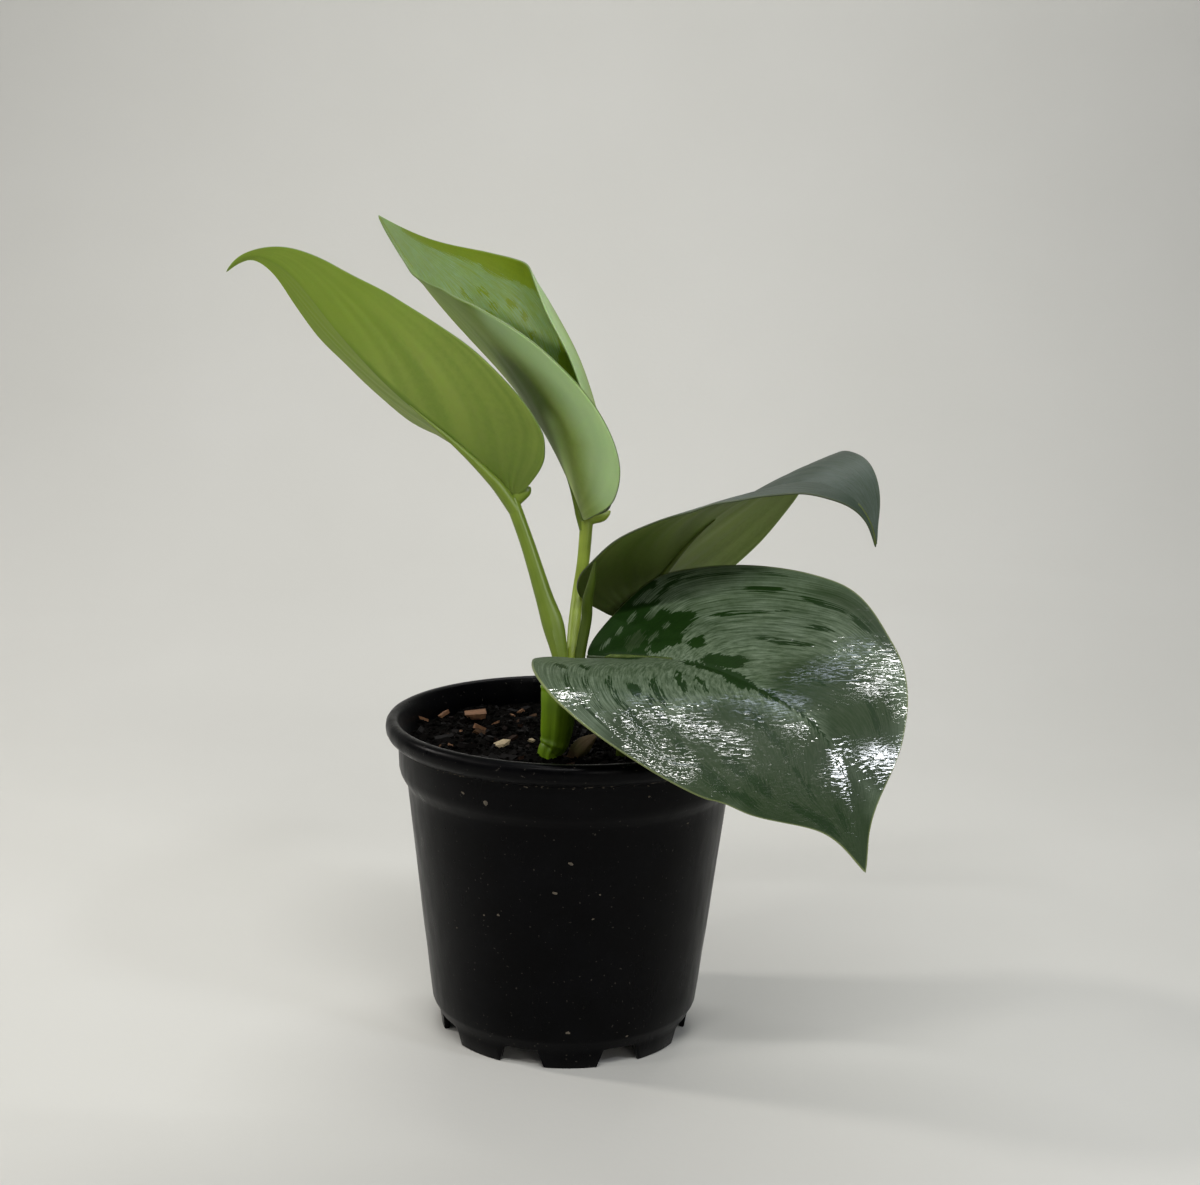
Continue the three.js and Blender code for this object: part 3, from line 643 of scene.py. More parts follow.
shoots = {
    "main_stem_shoot": (main_stem, stem_form, None, stem_flesh, "main_stem"),
    "left_stalk": (petiole_left, left_form, knob_left, young_stalk, "petiole_left"),
    "centre_stalk": (petiole_centre, round_form, knob_centre, centre_stalk, "petiole_centre"),
    "back_stalk": (petiole_back, round_form, None, shaded_stalk, "petiole_back"),
    "front_stalk": (petiole_front, round_form, None, shaded_stalk, "petiole_front"),
    "green_sheath": (leaf_sheath, round_form, None, sheath_flesh, "leaf_sheath"),
}
for name, (stations, swell, knob, material, cad_node) in shoots.items():
    piece = shoot(name, stations, swell)
    if knob:
        join(piece, [shoot(name + "_knob", knob, plain, (0, 0, 1), 30, 24, blunt=0.35)])
    piece.data.materials.append(material)
    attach(piece, "root")
    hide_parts(cad_node)

# -------- dry sheath
# The torn stub of an old leaf sheath at the foot of the stem, dried to thin tan paper with a brown base.
bract = shoot("dry_sheath_stub", dry_sheath, round_form, rings=50, sides=28)
# Thin dead leaf tissue: papery and matt, brown at its foot, olive and then pale tan further up, fibrous.
papery, tree, shader = new_material("dry_papery_sheath")
streaks = lengthwise_streaks(tree, 30, 1.5)
share = node(tree, "Attribute", attribute_name="share").outputs["Fac"]
fade = node(tree, "ValToRGB", {"Fac": share})
foot, far_end = fade.color_ramp.elements
foot.position, far_end.position = 0.35, 0.8
foot.color, far_end.color = linear("#4a2412"), linear("#b39a7c")
fade.color_ramp.elements.new(0.55).color = linear("#8b8450")
tone = node(tree, "Mix", {"Factor": streaks, "A": fade, "B": "#6b5a34"}, data_type="RGBA")
crease = node(tree, "Bump", {"Height": streaks, "Distance": 0.0004, "Strength": 0.6})
feed(shader, {"Base Color": tone, "Normal": crease, "Roughness": 0.7})
bract.data.materials.append(papery)
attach(bract, "root")
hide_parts("dry_sheath")

# -------- leaf blades
# Heart-shaped, leathery blades, silver over dark green above and plain green below. Each is one thin
# sheet along its midrib, folded and curled by halves, with sunken side veins that sweep to the tip.
blades = {
    "leaf_left": dict(
        base=(-17, -8, 156), azimuths=(184, 150, 140), elevations=(49, 36, 40, 35, -40),
        rolls=(48, 71, 77, 70), fold_left=(13, 14, -2), fold_right=(49, 30, -9),
        curl_left=(-6, 9, 18), curl_right=(24, 14, -1),
        margin_left=((0.5, 8), (4, 17), (13.5, 22.5), (36.5, 24), (61.5, 19.5), (83.5, 12), (103.5, 3)),
        margin_right=((-2, 8.5), (0, 17), (10.5, 22.5), (35.5, 23.5), (62.5, 18.5), (85.5, 11.5), (105.5, 2)),
        length=121, half_width=25, lobe_reach=4, spread=1.3),
    "leaf_centre": dict(
        base=(3, 1, 149.5), azimuths=(134, 137, 148), elevations=(61, 46, 34, 41, 54),
        rolls=(-13, 12, 25, -14), fold_left=(51, 17, 17), fold_right=(66, 41, 28),
        curl_left=(90, 9, -20), curl_right=(110, 128, 92),
        margin_left=((-3, 12), (-2, 24.5), (10.5, 33.5), (38, 37), (62, 30), (83, 17.5), (101.5, 4)),
        margin_right=((-1.5, 10.5), (2, 20.5), (16, 31), (45.5, 38), (67.5, 33.5), (88, 22.5), (105.5, 9)),
        length=119, half_width=34, lobe_reach=5, spread=1.3),
    "leaf_back": dict(
        base=(16, 6, 119.5), azimuths=(-6, -27, -37), elevations=(58, 51, 30, -5, -84),
        rolls=(-43, -24, 0, 19), fold_left=(33, 14, 27), fold_right=(36, 0, 4),
        curl_left=(-23, -31, -15), curl_right=(-52, -14, 36),
        margin_left=((-3.5, 12), (-4, 25.5), (9, 36), (39, 38.5), (61, 32), (77.5, 17), (92, 3.5)),
        margin_right=((-1, 8), (2, 22.5), (14.5, 33.5), (41.5, 37.5), (59, 30.5), (73.5, 17), (87.5, 3.5)),
        length=100, half_width=40, lobe_reach=16, spread=1.3),
    "leaf_front": dict(
        base=(22, -27.5, 116), azimuths=(-35, -44, -34), elevations=(7, -9, -19, -67, -75),
        rolls=(18, 15, 18, 32), fold_left=(21, 3, -2), fold_right=(29, -1, -14),
        curl_left=(-6, 24, 32), curl_right=(-3, -39, -13),
        margin_left=((-20, -2), (-20.5, 16), (-9, 34.5), (28, 44), (51, 34), (66.5, 20), (81.5, 6)),
        margin_right=((-15.5, 11), (-21, 25.5), (-3, 41), (27, 38.5), (53, 34), (72, 27.5), (83.5, 8.5)),
        length=95.5, half_width=44, lobe_reach=24, spread=1.35),
}


def flat_place(blade, t, v):
    """Where a point of the blade lies in its flat outline: along the midrib and away from it, in mm."""
    x = np.empty_like(t)
    y = np.empty_like(t)
    for half, margin in ((v < 0, blade["margin_left"]), (v >= 0, blade["margin_right"])):
        outline = np.array([(0, 0), *margin, (blade["length"], 0)], float)
        rib = blade["length"] * t[half] ** blade["spread"]
        x[half] = rib + (spline(outline[:, 0], t[half]) - rib) * np.abs(v[half])
        y[half] = spline(outline[:, 1], t[half]) * v[half]
    return x, y


def sheet_place(blade, x, y):
    """The point of the bent sheet at x along the midrib and y away from it, and its upward normal."""
    bits = 960
    steps = np.linspace(0, 1, bits + 1)
    length, reach = blade["length"], blade["lobe_reach"]

    def heading(u):
        azimuth = np.radians(spline(blade["azimuths"], u))
        elevation = np.radians(spline(blade["elevations"], u))
        flat, rise = np.cos(elevation), np.sin(elevation)
        forward = np.column_stack([flat * np.cos(azimuth), flat * np.sin(azimuth), rise])
        return forward, np.column_stack([np.sin(azimuth), -np.cos(azimuth), 0 * azimuth])

    forward = heading(steps)[0]
    rib = np.vstack([np.zeros(3), np.cumsum((forward[1:] + forward[:-1]) / 2 * length / bits, axis=0)])
    u = np.clip(x / length, 0, 1)
    place = np.column_stack([np.interp(u, steps, rib[:, k]) for k in range(3)]) + blade["base"]
    forward, sideways = heading(u)
    place += forward * np.minimum(x, 0)[:, None]
    w = (x + reach) / (length + reach)
    roll = np.radians(spline(blade["rolls"], w))[:, None]
    upward = np.cross(sideways, forward)
    across = sideways * np.cos(roll) - upward * np.sin(roll)
    normal = upward * np.cos(roll) + sideways * np.sin(roll)
    on_right = y >= 0
    fold = np.radians(np.where(on_right, spline(blade["fold_right"], w), spline(blade["fold_left"], w)))
    curl = np.radians(np.where(on_right, spline(blade["curl_right"], w), spline(blade["curl_left"], w)))
    bend = np.where(np.abs(curl) < 1e-4, 1e-4, curl) / blade["half_width"]
    turned = fold + bend * np.abs(y)
    place += across * (np.sign(y) * (np.sin(turned) - np.sin(fold)) / bend)[:, None]
    place += normal * ((np.cos(fold) - np.cos(turned)) / bend)[:, None]
    facing = normal * np.cos(turned)[:, None] - across * (np.sign(y) * np.sin(turned))[:, None]
    return place, facing


def vein_place(t, v):
    """Where a point lies among the side veins: the same number all along one vein, from midrib to margin."""
    lean, sweep = 0.42, 0.38
    away = np.abs(v)
    return t - lean * away - sweep * (1 - np.sqrt(np.clip(1 - away**2, 0, 1)))


def stroke_depth(blade, x, y, strokes):
    """How deep each point lies inside the given brush strokes, in mm, negative outside them all. Strokes
    that aren't broad taper at both ends."""
    nowhere, tip_loss, broad = -9.0, 0.75, 6
    depth = np.full(len(x), nowhere)
    for width, *places in strokes:
        t, v = np.array(places).reshape(-1, 2).T / 100
        px, py = flat_place(blade, t, v)
        for i in range(len(t) - 1):
            ax, ay, bx, by = px[i], py[i], px[i + 1], py[i + 1]
            span = max((bx - ax) ** 2 + (by - ay) ** 2, 1e-9)
            f = np.clip(((x - ax) * (bx - ax) + (y - ay) * (by - ay)) / span, 0, 1)
            away = np.hypot(x - ax - f * (bx - ax), y - ay - f * (by - ay))
            drawn = (i + f) / (len(t) - 1)
            taper = 1 - tip_loss * np.abs(2 * drawn - 1) ** 3 * (width < broad)
            depth = np.maximum(depth, width / 2 * taper - away)
    return depth


# Brush strokes painted on the blades. Each is its width in mm and its points, in percent of the way to the
# tip and from the left margin (-100) over the midrib (0) to the right one (100).
# On the front leaf: dark streaks with pale flecks in them, the broad dark flame along its midrib, a dull
# patch and painted shade on the lower front half and the right edge, which face away from the lights,
# the parts still wet from a spray, and the lines where the water has gathered near its margin.
# On the young leaf: plain green along its upper margin and where its silver is only forming, the thickest
# waxy bloom under it with painted sheen on its margin strips, and painted light along the trough of its
# curl, where the left leaf shades it.
marks = {
    "leaf_front": {
        "strokes": [
            (1, 30, 83, 33.8, 86, 39, 89.5, 44, 93), (0.8, 31, 73, 35.5, 78, 40, 81),
            (1.3, 31, 60, 35, 64, 38.5, 68), (1.8, 38.5, 68, 42, 71.5, 47.5, 79),
            (2.6, 26, 86, 28.5, 81), (2.2, 25.5, 71, 28.5, 69), (3.4, 35.2, 52, 39.5, 56.5),
            (2.2, 40, 52, 42, 54), (2.4, 34.5, 39, 37.5, 43, 44, 53), (2.6, 32.5, 21, 36, 26, 42, 34),
            (1.4, 36, 16, 44, 25), (3, 50, 70, 53, 78), (3.4, 54.5, 79, 60, 85, 65, 90),
            (2.6, 65, 90, 76, 90), (3.6, 57.5, 66, 65, 70), (3.2, 65, 70, 74.5, 71),
            (1.6, 53, 22, 62, 31, 70, 39), (2, 56, 27, 66, 36), (1.2, 70, 39, 81, 50),
            (2.6, 78, 70, 84, 72, 90, 72), (1.6, 44, 60, 50, 68), (1.2, 47, 52, 53, 58),
            (1.6, 84, 30, 90, 40), (4, 21, 5, 27, 2, 34, 0, 40, 0), (5, 34, 0, 42, 2, 48, 2),
            (3.4, 48, 2, 56, 0), (1.4, 56, 0, 72, 0), (11, 8, -97, 14, -97, 20, -95, 26, -97),
            (6, 26, -96, 33, -98), (9, 6, -60, 12, -75, 20, -85), (9, 22, -83, 28, -84),
            (8, 24, -74, 30, -66), (3, 27.9, -84, 32.9, -81), (2.2, 33, -84, 35.8, -90, 38.3, -95),
            (6, 22.5, -38, 29.2, -47, 34.2, -56), (4, 30.8, -61, 34.6, -62),
            (8, 10, -72, 16, -62, 21, -60), (6, 18, -50, 25, -55, 30, -58), (7, 27, -40, 30, -52),
            (5, 31, -55, 34.5, -60), (5, 30, -25, 34, -35), (6, 33, -10, 40, -14),
            (1, 33.5, -86, 38, -92, 43, -93), (1.2, 36, -96, 40, -96.5), (1, 43, -96, 46.2, -95),
            (2.6, 43, -80, 46.2, -84), (2, 38.5, -55, 41.5, -59), (1.2, 41.5, -57, 46.7, -68),
            (2, 47.5, -81, 54, -86), (2.2, 54, -86, 58.5, -89), (1.6, 49.5, -62, 53.5, -68),
            (1.8, 44, -40, 52, -50), (1.8, 65.5, -57, 73.5, -65), (0.9, 67.5, -76, 72, -80),
            (1.2, 56, -30, 60, -34),
        ],
        "flecks": [
            (1.8, 25, -82, 27.5, -86), (2.4, 28.3, -71, 31.2, -76), (1.6, 22.9, -49, 27.1, -55),
            (1.4, 29, -55, 30.8, -59), (1.2, 17, -86, 20, -84), (1.4, 21.5, -80, 23.5, -84),
            (1.2, 33, -38, 40, -50), (2, 29, -92, 33, -93), (5, 18, -56, 24, -66),
        ],
        "flame": [
            (8, 15, -36, 25, -26), (12, 26, -20, 36, -8), (17, 36, -5, 45, 3), (12, 42, 12, 46, 8),
            (10, 42, -10, 46, -6), (7, 48, 0, 54, 2), (3, 52, 0, 86, 0),
        ],
        # Partly a dull, dry patch and partly painted shade: these darken the silver where the blade faces
        # away from the lights.
        "dull_and_shade": [
            (9, 17, -56, 26, -67), (18, 57, -25, 66, -48, 72, -40), (12, 72, -55, 78, -60),
            (16, 46, 85, 62, 75), (26, 56, 55, 74, 55), (16, 80, 50, 95, 0), (20, 60, 85, 85, 70),
            (18, 70, 30, 84, 30), (4, 49, -90, 56, -95, 63, -97), (5, 62, -25, 68, -38),
        ],
        "wet": [
            (6, 41.7, 62, 45.4, 56, 46.7, 41), (4, 44.2, 38, 48.3, 45),
            (5, 48.3, 59, 51.7, 54, 54.6, 54), (5, 54.6, 54, 60.8, 58),
            (3, 46.2, 29, 48.3, 19, 52.5, 14), (3, 52.5, 28, 57.5, 26), (4, 52.9, 7, 62.1, 12, 71, 10),
            (3, 48.3, 0, 58.3, 0), (3, 56.2, -6, 63.3, -7, 70.4, -9, 75, -16),
            (11, 78.5, 0, 80.8, -20, 80, -80), (6, 43.8, -17, 48.3, -21, 52.9, -24),
            (13, 49.2, -36, 56.2, -50, 62.9, -71, 66.7, -94), (8, 57.9, -68, 62.5, -84, 66.2, -100),
            (7, 37, 93, 45, 89, 54, 87), (4, 42, 71, 45.4, 78, 51.2, 88),
            (3, 67.9, -93, 71.3, -96, 74.6, -99, 80.8, -95),
        ],
        "water": [
            (1.9, 40.8, 87, 45, 89, 47.9, 90, 50.4, 90, 53.7, 88, 55.4, 83),
            (1.5, 42.1, 71, 45.4, 78, 48.7, 83, 51.2, 88),
        ],
    },
    "leaf_centre": {
        "strokes": [
            (5, 93, 95, 82, 95, 72, 92), (9, 74, 95, 66, 90, 60, 88),
            (10, 60, 90, 54, 82, 48, 75, 42, 70), (10, 52, 78, 47, 60, 45, 45), (2, 73.3, 55, 70, 50),
            (1.8, 69.2, 46, 66.5, 42), (1.6, 68.3, 35, 65, 33), (1.8, 66.2, 55, 63, 52),
            (2.2, 61.7, 52, 59, 47), (2, 56.7, 42, 55, 36), (1.4, 76, 40, 72, 36),
            (1.4, 60, 36, 58, 30),
        ],
        # Waxy bloom with painted sheen: pales the margin strips where they catch the light.
        "bloom_and_sheen": [
            (12, 54, -98, 46, -93, 36, -92, 26, -93), (5, 26, -80, 36, -82),
            (9, 38, 100, 50, 98, 62, 96),
        ],
        # Painted light: lightens the trough of the curl that the left leaf shades.
        "pale": [
            (6, 16, -28, 24, -35, 32, -43, 38, -51),
        ],
    },
}
paint_layers = ("strokes", "flecks", "flame", "dull_and_shade", "wet", "water", "bloom_and_sheen", "pale")
blade_thickness = 0.55


def blade_piece(name, blade, rows, columns, relief, painted):
    """The sheet of one blade, a fine grid moved onto its form. What is painted on it becomes attributes."""
    bpy.ops.mesh.primitive_grid_add(x_subdivisions=rows, y_subdivisions=columns, size=2)
    made = new_mesh_object(name)
    square = vertices_of(made)
    t, v = (square[:, 0] + 1) / 2, -square[:, 1]
    x, y = flat_place(blade, t, v)
    place, facing = sheet_place(blade, x, y)
    move_vertices(made, in_frame(place + facing * (relief(t, v, x, y) + blade_thickness / 2)[:, None]))
    edge_x, edge_y = flat_place(blade, t, np.where(v < 0, -1.0, 1.0))
    depths = {layer: stroke_depth(blade, x, y, painted.get(layer, ())) for layer in paint_layers}
    depths["strokes"] = np.minimum(depths["strokes"], -depths.pop("flecks"))
    paint(made, {**depths, "from_edge": np.hypot(x - edge_x, y - edge_y), "from_rib": np.abs(y), "share": t})
    corners = np.empty(len(made.data.loops), int)
    made.data.loops.foreach_get("vertex_index", corners)
    made.data.uv_layers.remove(made.data.uv_layers[0])
    maps = {"flat": (x, y), "veins": (vein_place(t, v) * blade["length"], v * blade["half_width"])}
    for layer, (across_map, up_map) in maps.items():
        uv = np.column_stack([across_map, up_map])[corners] / 1000
        made.data.uv_layers.new(name=layer).data.foreach_set("uv", uv.ravel())
    bpy.ops.object.mode_set(mode="EDIT")
    bpy.ops.mesh.select_all(action="SELECT")
    bpy.ops.mesh.remove_doubles(threshold=2e-6)
    bpy.ops.object.mode_set(mode="OBJECT")
    bpy.ops.object.shade_smooth()
    return made


def midrib_piece(name, blade, stalk, reach):
    """The midrib under a blade: the stalk runs on below the sheet and thins out towards the tip."""
    steps = np.linspace(0, reach, 9)
    place, facing = sheet_place(blade, steps * blade["length"], 0 * steps)
    sunk, taper, end_width = 0.42, 1.3, 0.3
    width = stalk[-1][3] * (1 - steps / reach) ** taper + end_width
    deep = 0.77 * width + 0.2
    below = place - facing * (sunk + deep / 2)[:, None]
    root = [0.25 * a + 0.75 * b for a, b in zip(stalk[-2][:3], stalk[-1][:3])]
    stations = [root + stalk[-2][3:], *np.column_stack([below, width, deep])[1:].tolist()]
    return shoot(name, stations, plain, tuple(np.cross(place[2] - place[1], facing[1])), 80, 20, blunt=0.05)


def thicken(piece, materials):
    """Gives a sheet its thickness, and its upper face, underside and rim their materials."""
    for material in materials:
        piece.data.materials.append(material)
    apply_modifier(piece, "SOLIDIFY", thickness=blade_thickness / 1000, offset=-1, use_even_offset=False,
                   use_quality_normals=True, material_offset=1, material_offset_rim=2)


def relief_of(vein_count, groove, quilting, waves, seed):
    """Height of the upper face in mm: a midrib groove, sunken side veins and a gently waved margin."""
    phase = seed * 1.7

    def relief(t, v, x, y):
        rib = -groove * np.exp(-((y / 0.9) ** 2)) * np.clip(1.1 - t, 0.2, 1)
        veins = vein_place(t, v) * vein_count
        swell = np.sin(2 * math.pi * veins) * np.sin(math.pi * np.clip(np.abs(v) / 0.8, 0, 1)) ** 2
        swell *= np.clip(3 * (1 - t), 0, 1) ** 2
        wave = np.sin(19 * t + phase) + 0.6 * np.sin(37 * t + 2 * phase) + 0.3 * np.sin(71 * t + 3 * phase)
        return rib + quilting * swell + waves * wave * np.abs(v) ** 4 * np.sin(math.pi * t)

    return relief


# The flesh between a blade's two skins, which glows green to yellow where light comes through.
leaf_flesh = {"Specular IOR Level": 0.25, "Subsurface Radius": (0.6, 1.0, 0.3), "Subsurface Scale": 0.001}


def upper_face(name, silver, silver_dark, green, green_dark, streak, cut, film, glow=0.0):
    """The silvery upper skin. Air under the skin makes the silver, which is broken by dark green streaks
    along the veins. streak is their width in mm, cut how few there are, film how wet and glossy it is,
    and glow how much light shines through the blade."""
    material, tree, shader = new_material(name)
    veins = node(tree, "UVMap", uv_map="veins")
    flat = node(tree, "UVMap", uv_map="flat")
    painted = {layer: node(tree, "Attribute", attribute_name=layer).outputs["Fac"]
               for layer in ("strokes", "flame", "dull_and_shade", "wet", "water", "from_edge", "share")}
    along = node(tree, "Mapping", {"Vector": veins, "Scale": (1, 0.36, 1)})
    torn = node(tree, "TexNoise", {"Vector": along, "Scale": 1000 / 0.9, "Detail": 5, "Roughness": 0.62,
                                   "Distortion": 0.35})
    fringe = node(tree, "MapRange", {"Value": torn, "From Min": 0.35, "From Max": 0.65, "To Min": -1.0},
                  clamp=False)
    drawn = node(tree, "Math", {0: fringe, 1: 0.95, 2: painted["strokes"]}, operation="MULTIPLY_ADD")
    drawn_edge = node(tree, "MapRange", {"Value": drawn, "From Min": -0.1, "From Max": 0.15})
    stretched = node(tree, "Mapping", {"Vector": veins, "Scale": (1, 0.24, 1)})
    streaks = node(tree, "TexNoise", {"Vector": stretched, "Scale": 1000 / streak, "Detail": 3,
                                      "Roughness": 0.6, "Distortion": 0.4})
    grown = node(tree, "Math", {0: torn, 1: 0.5, 2: streaks}, operation="MULTIPLY_ADD")
    grown_edge = node(tree, "MapRange", {"Value": grown, "From Min": cut, "From Max": cut + 0.02})
    dark = node(tree, "Math", {0: drawn_edge, 1: grown_edge}, operation="MAXIMUM")
    mottle = node(tree, "TexNoise", {"Vector": flat, "Scale": 1000 / 7, "Detail": 9, "Roughness": 0.82})
    mottled = node(tree, "MapRange", {"Value": mottle, "From Min": 0.3, "From Max": 0.7})
    green_tone = node(tree, "Mix", {"Factor": mottled, "A": green_dark, "B": green}, data_type="RGBA")
    # Painted shade, with a dull patch: darkens the silver where the dull strokes lie.
    dull_and_shade_share = node(tree, "MapRange",
                  {"Value": painted["dull_and_shade"], "From Min": -5.0, "From Max": 3.0, "To Max": 0.9},
                  interpolation_type="SMOOTHSTEP")
    near_rib = node(tree, "Math", {0: fringe, 1: 1.2, 2: painted["flame"]}, operation="MULTIPLY_ADD")
    rib_shade = node(tree, "MapRange", {"Value": near_rib, "From Min": -2.2, "From Max": 1.8, "To Max": 0.85},
                     interpolation_type="SMOOTHSTEP")
    edge_line = node(tree, "MapRange", {"Value": painted["from_edge"], "From Min": 0.15, "From Max": 0.5,
                                        "To Min": 0.6 * film, "To Max": 0.0})
    past_lobe = node(tree, "MapRange", {"Value": painted["share"], "From Min": 0.2, "From Max": 0.35})
    rim = node(tree, "Math", {0: edge_line, 1: past_lobe}, operation="MULTIPLY")
    tone = node(tree, "Mix", {"Factor": mottled, "A": silver_dark, "B": silver}, data_type="RGBA")
    for share, over in ((dull_and_shade_share, "#2c3a20"), (dark, green_tone), (rib_shade, green), (rim, "#8a9560")):
        tone = node(tree, "Mix", {"Factor": share, "A": tone, "B": over}, data_type="RGBA")
    pimples = node(tree, "TexNoise", {"Vector": flat, "Scale": 1000 / 0.8, "Detail": 2})
    skin = node(tree, "Bump", {"Height": pimples, "Distance": 0.0001, "Strength": 0.6})
    step = node(tree, "Bump", {"Height": dark, "Distance": 0.0001, "Strength": 0.3, "Normal": skin},
                invert=True)
    place = node(tree, "TexCoord").outputs["Object"]
    drawn_out = node(tree, "Mapping", {"Vector": place, "Scale": (0.3, 0.6, 1.6)})
    ripples = node(tree, "TexNoise",
                   {"Vector": drawn_out, "Scale": 1000 / 1.0, "Detail": 1.2, "Distortion": 0.25})
    wavy = node(tree, "Math", {0: ripples, 1: 1.6, 2: painted["water"]}, operation="MULTIPLY_ADD")
    beads = node(tree, "MapRange", {"Value": wavy, "From Min": 0.2, "From Max": 1.7},
                 interpolation_type="SMOOTHSTEP")
    calmed = node(tree, "MapRange", {"Value": painted["water"], "From Min": -0.4, "From Max": 0.2,
                                     "To Min": 1.0, "To Max": 0.2})
    rippled = node(tree, "Bump", {"Height": ripples, "Distance": 0.0002, "Strength": calmed})
    wet = node(tree, "Bump", {"Height": beads, "Distance": 0.0003, "Strength": 1.0, "Normal": rippled})
    shore = node(tree, "Math", {0: mottled, 1: 3.0, 2: painted["wet"]}, operation="MULTIPLY_ADD")
    wetness = node(tree, "MapRange", {"Value": shore, "From Min": -1.5, "From Max": 3.5,
                                      "To Min": 0.05 * film, "To Max": film},
                   interpolation_type="SMOOTHSTEP")
    feed(shader, {**leaf_flesh, "Base Color": tone, "Normal": step, "Roughness": 0.5, "IOR": 1.4,
                  "Subsurface Weight": glow, "Coat Weight": wetness, "Coat Normal": wet,
                  "Coat Roughness": 0.05, "Coat IOR": 1.6})
    return material


def under_face(name, pale, deep, rib, gloss, glow, base="#2c3a10", stalk_shade_share=0.0, tip="#64782a",
               tip_share=0.0, bloom_and_sheen=0.0):
    """The plain green underside: matt, with broad paler bands between the side veins and a paler midrib.
    Painted shade turns it to base towards the stalk, it turns to tip at its far end, a waxy bloom with
    painted sheen pales it in places, and painted light lightens the trough of a curl that another leaf
    shades."""
    material, tree, shader = new_material(name)
    painted = {layer: node(tree, "Attribute", attribute_name=layer).outputs["Fac"]
               for layer in ("from_rib", "share", "bloom_and_sheen", "pale")}
    flat = node(tree, "UVMap", uv_map="flat")
    stretched = node(tree, "Mapping", {"Vector": node(tree, "UVMap", uv_map="veins"), "Scale": (1, 0.05, 1)})
    bands = node(tree, "TexNoise", {"Vector": stretched, "Scale": 1000 / 16, "Detail": 1})
    cells = node(tree, "TexNoise", {"Vector": flat, "Scale": 1000 / 1.5, "Detail": 4, "Roughness": 0.6})
    mixed = node(tree, "Math", {0: cells, 1: 0.25, 2: bands}, operation="MULTIPLY_ADD")
    mottled = node(tree, "MapRange", {"Value": mixed, "From Min": 0.42, "From Max": 0.82},
                   interpolation_type="SMOOTHSTEP")
    near_rib = node(tree, "MapRange", {"Value": painted["from_rib"], "From Min": 0.3, "From Max": 1.3,
                                       "To Min": 0.6, "To Max": 0.0})
    tone = node(tree, "Mix", {"Factor": mottled, "A": deep, "B": pale}, data_type="RGBA")
    tone = node(tree, "Mix", {"Factor": near_rib, "A": tone, "B": rib}, data_type="RGBA")
    # Painted shade towards the stalk, waxy bloom with painted sheen, and painted light in a shaded trough.
    for layer, low, high, first, last, over in (
            ("share", 0.12, 0.5, stalk_shade_share, 0.0, base), ("share", 0.45, 0.7, 0.0, tip_share, tip),
            ("bloom_and_sheen", -5, 5, 0.0, bloom_and_sheen, "#b2cfa4"), ("pale", -3, 3, 0.0, 0.9, "#c4dc84")):
        share = node(tree, "MapRange", {"Value": painted[layer], "From Min": low, "From Max": high,
                                        "To Min": first, "To Max": last}, interpolation_type="SMOOTHSTEP")
        tone = node(tree, "Mix", {"Factor": share, "A": tone, "B": over}, data_type="RGBA")
    skin = node(tree, "Bump", {"Height": cells, "Distance": 0.0002, "Strength": 0.3})
    feed(shader, {**leaf_flesh, "Base Color": tone, "Normal": skin, "Roughness": gloss,
                  "Subsurface Weight": glow})
    return material


def margin_face(name, colour, other):
    """The cut-thin rim of a blade, a pale line along the margin that fades towards the stalk."""
    material, tree, shader = new_material(name)
    share = node(tree, "Attribute", attribute_name="share").outputs["Fac"]
    place = node(tree, "TexCoord").outputs["Object"]
    patches = node(tree, "TexNoise", {"Vector": place, "Scale": 1000 / 6, "Detail": 2})
    tone = node(tree, "Mix", {"Factor": patches, "A": colour, "B": other}, data_type="RGBA")
    past_lobe = node(tree, "MapRange", {"Value": share, "From Min": 0.15, "From Max": 0.35})
    faded = node(tree, "Mix", {"Factor": past_lobe, "A": "#2f4020", "B": tone}, data_type="RGBA")
    feed(shader, {"Base Color": faded, "Roughness": 0.45})
    return material


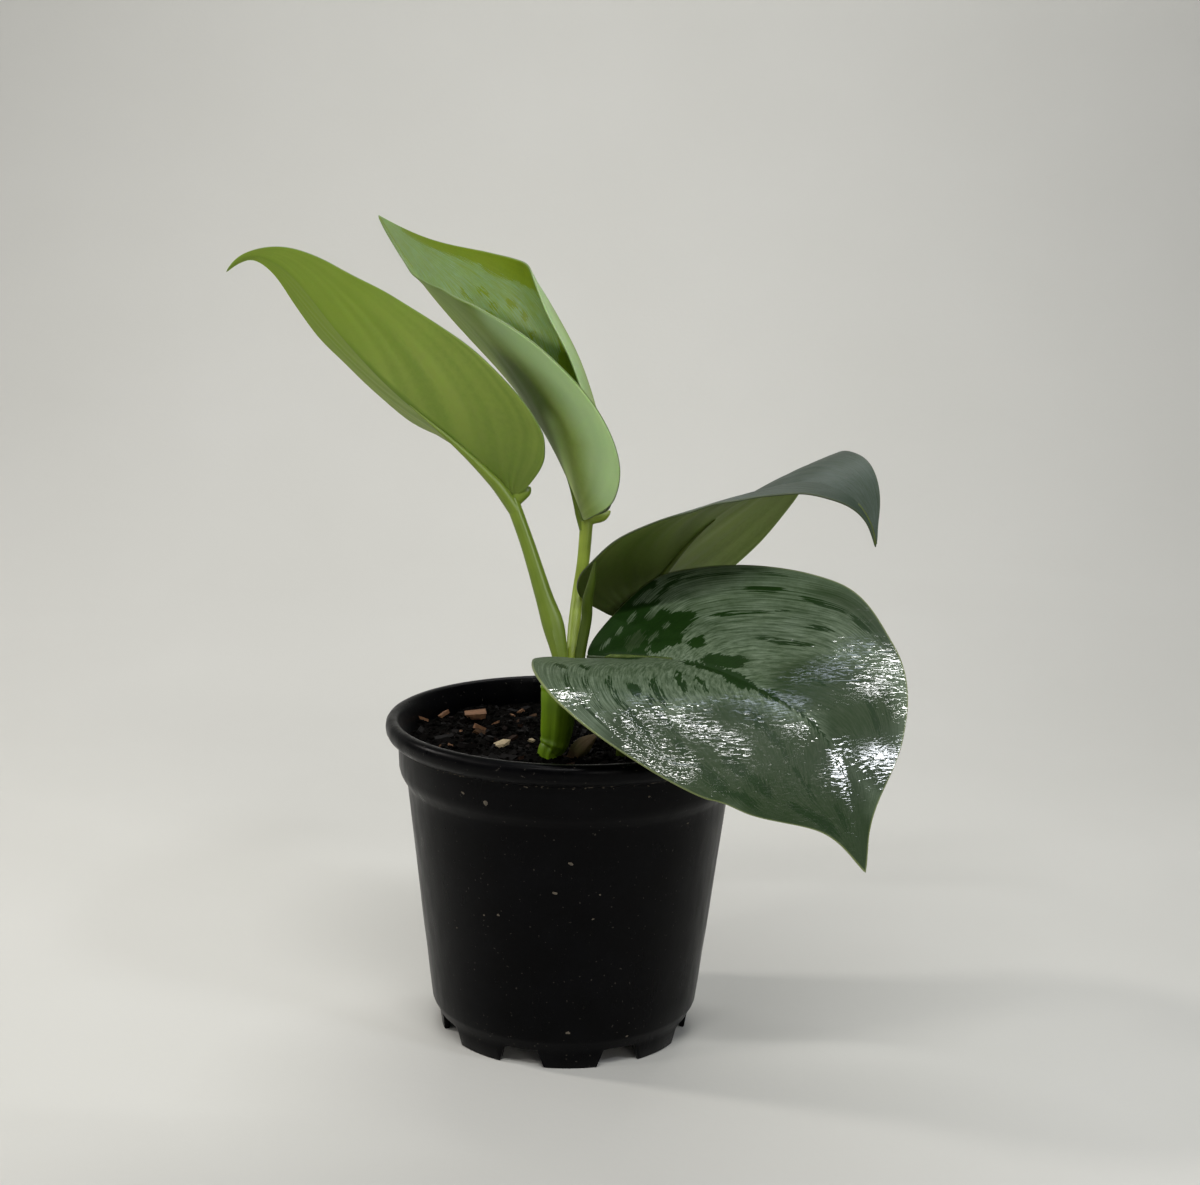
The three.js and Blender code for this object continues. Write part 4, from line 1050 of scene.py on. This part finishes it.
pale_margin = margin_face("pale_blade_margin", "#7c8856", "#7f8c4a")
dark_margin = margin_face("dark_blade_margin", "#3c4a24", "#2e3a18")
young_margin = margin_face("young_blade_margin", "#66803a", "#5a7428")
mature_above = upper_face("silver_satin_skin", "#84947e", "#5a6a50", "#18330b", "#0d2206", 2.2, 1.0, 1.0)
back_above = upper_face("silver_satin_skin_back", "#4f5b55", "#3b4640", "#24361c", "#14220c", 1.2, 0.86, 0.1)
young_above = upper_face("young_silver_skin", "#88a47e", "#729066", "#768a16", "#5e7410", 6, 1.1, 0.1, 0.5)
left_above = upper_face("left_silver_skin", "#6f8862", "#5a7250", "#46661f", "#2e4c12", 3.4, 0.92, 0.1, 0.5)
front_below = under_face("front_underside", "#56662e", "#3c4e16", "#35461a", 0.55, 0.3)
mature_below = under_face("mature_underside", "#70823a", "#5a6c24", "#5c6e30", 0.65, 0.6, "#2c3a08", 0.8,
                          "#445418", 0.75)
young_below = under_face("young_underside", "#889c4c", "#768c3a", "#788c40", 0.62, 0.6, "#6a7e32", 0.3,
                         "#6a841e", 0.7, 0.5)
left_below = under_face("left_underside", "#7a8c3a", "#677c2c", "#4a6612", 0.6, 0.6, "#5c7229", 0.5,
                        "#6e861e", 0.7)

finish = {
    "leaf_left": dict(rows=120, columns=90, relief=relief_of(9, 0.25, 0.10, 0.35, 1), stalk=petiole_left,
                      reach=0.32, faces=(left_above, left_below, young_margin, young_stalk)),
    "leaf_centre": dict(rows=130, columns=110, relief=relief_of(9, 0.25, 0.06, 0.35, 2), stalk=petiole_centre,
                        reach=0.12, faces=(young_above, young_below, young_margin, young_stalk)),
    "leaf_back": dict(rows=130, columns=110, relief=relief_of(9, 0.3, 0.12, 0.4, 3), stalk=petiole_back,
                      reach=0.4, faces=(back_above, mature_below, dark_margin, shaded_stalk)),
    "leaf_front": dict(rows=210, columns=180, relief=relief_of(10, 0.35, 0.0, 0.4, 4), stalk=petiole_front,
                       reach=0.3, faces=(mature_above, front_below, pale_margin, shaded_stalk)),
}
for cad_node, plan in finish.items():
    blade = blades[cad_node]
    piece = blade_piece(cad_node + "_blade", blade, plan["rows"], plan["columns"], plan["relief"],
                        marks.get(cad_node, {}))
    *faces, rib_flesh = plan["faces"]
    thicken(piece, faces)
    rib = midrib_piece(cad_node + "_midrib", blade, plan["stalk"], plan["reach"])
    rib.data.materials.append(rib_flesh)
    join(piece, [rib])
    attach(piece, "root")
    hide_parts(cad_node)
